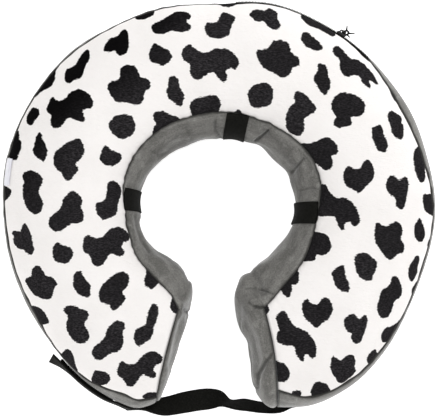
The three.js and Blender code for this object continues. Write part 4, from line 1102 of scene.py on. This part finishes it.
def makeStrap():
    # The strap's profile carried along its route, its width held to the slope of each row. On the left arm
    # its top edge leans in against the cover.
    leftRows, leftUp = heldRows(strapLeft, strap["patchThickness"] + 2 * strap["lay"], strap["ease"])
    azimuth = np.linspace(strapLeft["from"], strapLeft["to"], strapLeft["rows"] + 1)
    leftUp = unit(leftUp - coverOut(azimuth, 0 * azimuth) * np.tan(np.radians(strap["lean"]))[:, None])
    rightRows, rightUp = heldRows(strapRight, strap["lay"] + strap["width"] ** 2 / (4 * ring["height"]), 0)
    slack = strapSlack[:, :3] * [ring["rimRadius"], ring["rimRadius"], ring["height"]] + [*ring["axis"], 0]
    lean = np.radians(strapSlack[:, 3])
    slackUp = np.stack([0 * lean, np.cos(lean), np.sin(lean)], -1)
    line = smoothLine(np.concatenate([leftRows, slack, rightRows]), strap["steps"])
    across = unit(smoothLine(np.concatenate([leftUp, slackUp, rightUp]) * strap["width"], strap["steps"]))
    ahead = unit(np.gradient(line, axis=0))
    through = unit(np.cross(ahead, across))
    across = unit(np.cross(through, ahead))
    b, h = bandProfile(strap["width"], strap["thickness"], strap["cells"])
    points = line[:, None] + across[:, None] * b[None, :, None] + through[:, None] * h[None, :, None]
    piece = makeMesh("mouth_strap", [bandGrid(points, runs(line, 0), b)], blackWebbing, recalc=True)
    settle(piece, "black_webbing", "closure_strap")
    azimuths = np.linspace(strapLeft["patchFrom"], strapLeft["patchTo"], 60)
    patch = plate("strap_hook_patch", azimuths, lambda a: 0 * a, -strap["width"] / 2, strap["width"] / 2,
                  strap["lay"], strap["patchThickness"], 16, blackWebbing)
    settle(patch, "black_webbing", "strap_patch")


# tooth is its half length, width and height, sway how far it stands off the middle, the margins in degrees.
zipper = {"tapeWidth": 0.005, "tapeThickness": 0.0008, "tapeLift": -0.0006, "margin": 0.1, "pitch": 0.0013,
          "tooth": (0.0016, 0.0005, 0.0006), "toothLift": 0.0007, "sway": 0.0006, "toothMargin": 0.3}


def ellipsoids(centres, ways, sizes, around=8, down=5):
    # Small closed beads, one at each centre, stretched along three ways: a grid of sines and cosines each.
    a = np.linspace(0, 2 * np.pi, around, endpoint=False)
    b = np.linspace(0, np.pi, down)[:, None]
    ball = np.stack([np.sin(b) * np.cos(a), np.sin(b) * np.sin(a), np.cos(b) + 0 * a], -1)
    return centres[:, None, None] + np.einsum("ijk,nkl->nijl", ball * sizes, ways)


def makeZip():
    # The tape follows the rim seam, and the teeth are beads that lean left and right of its middle.
    start, end = slit["from"] + zipper["margin"], slit["to"] - zipper["margin"]
    half = zipper["tapeWidth"] / 2
    tape = plate("zip_tape", np.linspace(start, end, 200), rimSeam, -half, half,
                 zipper["tapeLift"], zipper["tapeThickness"], 8, blackWebbing)
    settle(tape, "black_webbing", "zip_chain")
    count = int(math.radians(end - start) * ring["rimRadius"] / zipper["pitch"])
    azimuth = np.linspace(start + zipper["toothMargin"], end - zipper["toothMargin"], count)
    side = rimSeam(azimuth)
    sign = np.where(np.arange(count) % 2 == 0, 1.0, -1.0)
    side = side + turnFor(azimuth, side, zipper["sway"] * sign)
    out, up = coverOut(azimuth, side), upAt(azimuth, side)
    centres = coverPoint(azimuth, side) + out * zipper["toothLift"]
    beads = ellipsoids(centres, np.stack([up, np.cross(up, out), out], 1), np.array(zipper["tooth"]))
    grids = [{"points": bead, "loops": True} for bead in beads]
    teeth = makeMesh("zip_teeth", grids, blackEnamel, recalc=True)
    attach(teeth, "root")


slider = {"at": 55, "length": 0.009, "width": 0.007, "thickness": 0.0026, "lift": 0.0028, "pinch": 0.18,
          "squared": (0.8, 0.35, 0.6), "bailLength": 0.0058, "bailHeight": 0.0026, "bailBar": 0.0014,
          "bailFoot": 0.0006}


def tube(path, radii, around=10):
    # A round profile carried along a path, its frame turned as little as may be.
    ahead = unit(np.gradient(path, axis=0))
    across = unit(np.cross(ahead, np.array([0.31, 0.52, 0.79])))
    other = np.cross(ahead, across)
    a = np.linspace(0, 2 * np.pi, around, endpoint=False)
    ringWay = across[:, None] * np.cos(a)[None, :, None] + other[:, None] * np.sin(a)[None, :, None]
    return bandGrid(path[:, None] + ringWay * np.asarray(radii)[:, None, None], runs(path, 0), a * 0.0004)


def onSlider(local):
    # From the slider's own lengths, x along the chain, y across and z out, to the collar.
    at = np.array(float(slider["at"]))
    side = rimSeam(at)
    point, out = coverPoint(at, side), coverOut(at, side)
    roundWay = unit(coverPoint(at + 0.02, side) - coverPoint(at - 0.02, side))
    square = np.cross(out, roundWay)
    x, y, z = local[..., :1], local[..., 1:2], local[..., 2:] + slider["lift"]
    return point + x * roundWay + y * square + z * out


def makeSlider():
    # The slider's plate is a flat squared-up cushion, pinched at its middle, and the bail a bent wire.
    a = np.linspace(0, 2 * np.pi, 64, endpoint=False)
    b = np.linspace(-np.pi / 2, np.pi / 2, 17)[:, None]
    pinch = 1 - slider["pinch"] * np.cos(np.pi * np.abs(np.cos(a)) ** 1.5) * (np.abs(np.cos(a)) < 0.9)
    plan, edge, face = slider["squared"]
    x = slider["length"] / 2 * rounded(np.cos(a), plan) * np.cos(b) ** edge
    y = slider["width"] / 2 * rounded(np.sin(a), plan) * np.cos(b) ** edge * pinch
    z = slider["thickness"] / 2 * (rounded(np.sin(b), face) + 0 * a - 1)
    body = {"points": onSlider(np.stack([x, y, z], -1)), "loops": True, "uv": np.stack([x, y], -1)}
    turn = np.linspace(0, np.pi, 30)
    bar = slider["bailBar"] / 2
    half, high = slider["bailLength"] / 2 - bar, slider["bailHeight"] - bar
    arch = np.stack([-half * np.cos(turn), 0 * turn, high * np.sin(turn) ** 0.5], -1)
    arch = np.concatenate([[(-half, 0, -slider["bailFoot"])], arch, [(half, 0, -slider["bailFoot"])]])
    bail = tube(onSlider(arch), np.full(len(arch), bar))
    piece = makeMesh("zip_slider_body", [body, bail], blackEnamel, recalc=True)
    settle(piece, "black_enamel", "zip_slider")


# The thread's loop, its knot and its loose ends, in the slider's own lengths: x along the chain, z out. Each
# end has x, z, its length, and its way: out, along and across.
thread = {"radius": 0.0009, "tip": 0.0005, "loop": 0.0019, "at": (-0.0032, 0.002), "tilt": 20, "knot": 0.0021,
          "knotAt": (-0.0012, 0.0013), "knotWave": 7000, "knotRelief": 0.06, "bend": 0.06, "steps": 24,
          "ends": ((-0.0024, 0.0035, 0.0046, 0.9, 0.43, 0.1), (-0.0048, 0.0024, 0.006, 0.5, -0.86, 0.1),
                   (-0.0043, 0.0009, 0.0042, -0.2, -0.97, -0.1))}


def makeThreadLoop():
    # A loop of thread on the bail, its knot and three loose ends.
    turn, tilt = np.linspace(0, 2 * np.pi, 60), math.radians(thread["tilt"])
    x, z = thread["at"]
    flat, high = thread["loop"] * np.cos(turn), thread["loop"] * np.sin(turn)
    loop = np.stack([x + flat * math.cos(tilt), flat * math.sin(tilt), z + high], -1)
    knotAt = np.array([[thread["knotAt"][0], 0, thread["knotAt"][1]]])
    knot = ellipsoids(knotAt, np.eye(3)[None], thread["knot"] * np.array([1, 0.9, 0.8]), 24, 13)[0]
    turns = np.sin(knot[..., :2] * thread["knotWave"])
    knot = knot * (1 + thread["knotRelief"] * turns[..., :1] * turns[..., 1:])
    grids = [tube(onSlider(loop), np.full(len(loop), thread["radius"])),
             {"points": onSlider(knot), "loops": True, "uv": knot[..., :2]}]
    for x, z, length, out, alongChain, across in thread["ends"]:
        way = unit(np.array([alongChain, across, out]))
        t = np.linspace(0, 1, thread["steps"])[:, None]
        bend = np.array([-way[1], way[0], 0.3]) * np.sin(np.pi * t) * length * thread["bend"]
        path = np.array([x, 0, z]) + way * length * t + bend
        grids.append(tube(onSlider(path), np.linspace(thread["radius"], thread["tip"], thread["steps"])))
    piece = makeMesh("zip_thread", grids, blackThread, recalc=True)
    settle(piece, "black_webbing", "pull_thread")


label = {"at": 169.5, "length": 0.025, "from": 0.0035, "to": 0.0145, "thickness": 0.001, "lift": 0.0003,
         "wave": 0.0001, "cells": 12, "columns": 60}


def makeLabel():
    # A blank ribbon that lies on the print beside the rim seam.
    half = math.degrees(label["length"] / 2 / ring["rimRadius"])
    azimuths = np.linspace(label["at"] - half, label["at"] + half, label["columns"])
    piece = plate("blank_label", azimuths, rimSeam, label["from"], label["to"], label["lift"],
                  label["thickness"], label["cells"], whiteSatin, label["wave"])
    settle(piece, "white_satin", "side_label")


bladder = {"columns": 200, "cells": 120, "faceRows": 24, "inset": 0.0042}


def makeBladder():
    # The whole cover's shape without its seams, with every point moved in along its normal and the creases
    # pressed.
    azimuths = azimuthsFor(bladder["columns"])[:, None]
    angles = np.linspace(0, 2 * np.pi, bladder["cells"], endpoint=False)
    grids = [{"points": coverPoint(azimuths, angles[None, :]), "loops": True}]
    for end, turned, bulge, droop in ends:
        points = bulgeRows(end, turned, bulge, droop, coverPoint(end, angles), bladder["faceRows"])[0]
        grids.append({"points": points[::turned], "loops": True})
    piece = makeMesh("inner_bladder", grids, bladderFilm, recalc=True)
    count = len(piece.data.vertices)
    place, out = np.empty(count * 3, np.float32), np.empty(count * 3, np.float32)
    piece.data.vertices.foreach_get("co", place)
    piece.data.vertex_normals.foreach_get("vector", out)
    place, out = place.reshape(-1, 3).astype(float), out.reshape(-1, 3).astype(float)
    place = pressIn(place - out * bladder["inset"], out)
    piece.data.vertices.foreach_set("co", place.ravel().astype(np.float32))
    piece.data.update()
    settle(piece, "bladder_film", "air_bladder")


studio = {"world": 0.56, "size": 1.3, "floorHalf": 4, "floorDrop": 0.0002,
          "lights": {"key": (23, (0.9, 0.75, 2.0)), "fill": (11, (-1.1, -0.5, 1.7)),
                     "side": (12, (1.9, 1.2, 0.5)), "front": (7, (-0.2, -2.1, 0.5))}}


def makeStudio():
    # A wide pale floor just below the collar, an even sky, and soft square lights that all face its middle.
    makeCamera()
    lines = np.linspace(-studio["floorHalf"], studio["floorHalf"], 9)
    x, y = np.meshgrid(lines, lines, indexing="ij")
    floor = makeMesh("floor", [{"points": np.stack([x, y, 0 * x - studio["floorDrop"]], -1)}], makeFloor())
    world = bpy.data.worlds.new("studio")
    bpy.context.scene.world = world
    world.use_nodes = True
    world.node_tree.nodes["Background"].inputs[0].default_value = (1, 1, 1, 1)
    world.node_tree.nodes["Background"].inputs[1].default_value = studio["world"]
    for name, (energy, at) in studio["lights"].items():
        data = bpy.data.lights.new(name + "Light", "AREA")
        data.energy, data.size = energy, studio["size"]
        light = bpy.data.objects.new(name + "Light", data)
        bpy.context.scene.collection.objects.link(light)
        light.location = at
        aim = np.array(at, float)
        light.rotation_euler = (math.acos(aim[2] / np.linalg.norm(aim)), 0, math.atan2(aim[0], -aim[1]))
    bpy.context.scene.view_settings.view_transform = "Standard"


makeStudio()
print("stage: studio ready")
makePrintedPanel()
makeGreyBack()
makeGusset()
print("stage: cover made")
makeBladder()
makeLoops()
makeStrap()
print("stage: webbing made")
makeZip()
makeSlider()
makeThreadLoop()
makeLabel()
print("stage: zip and label made")
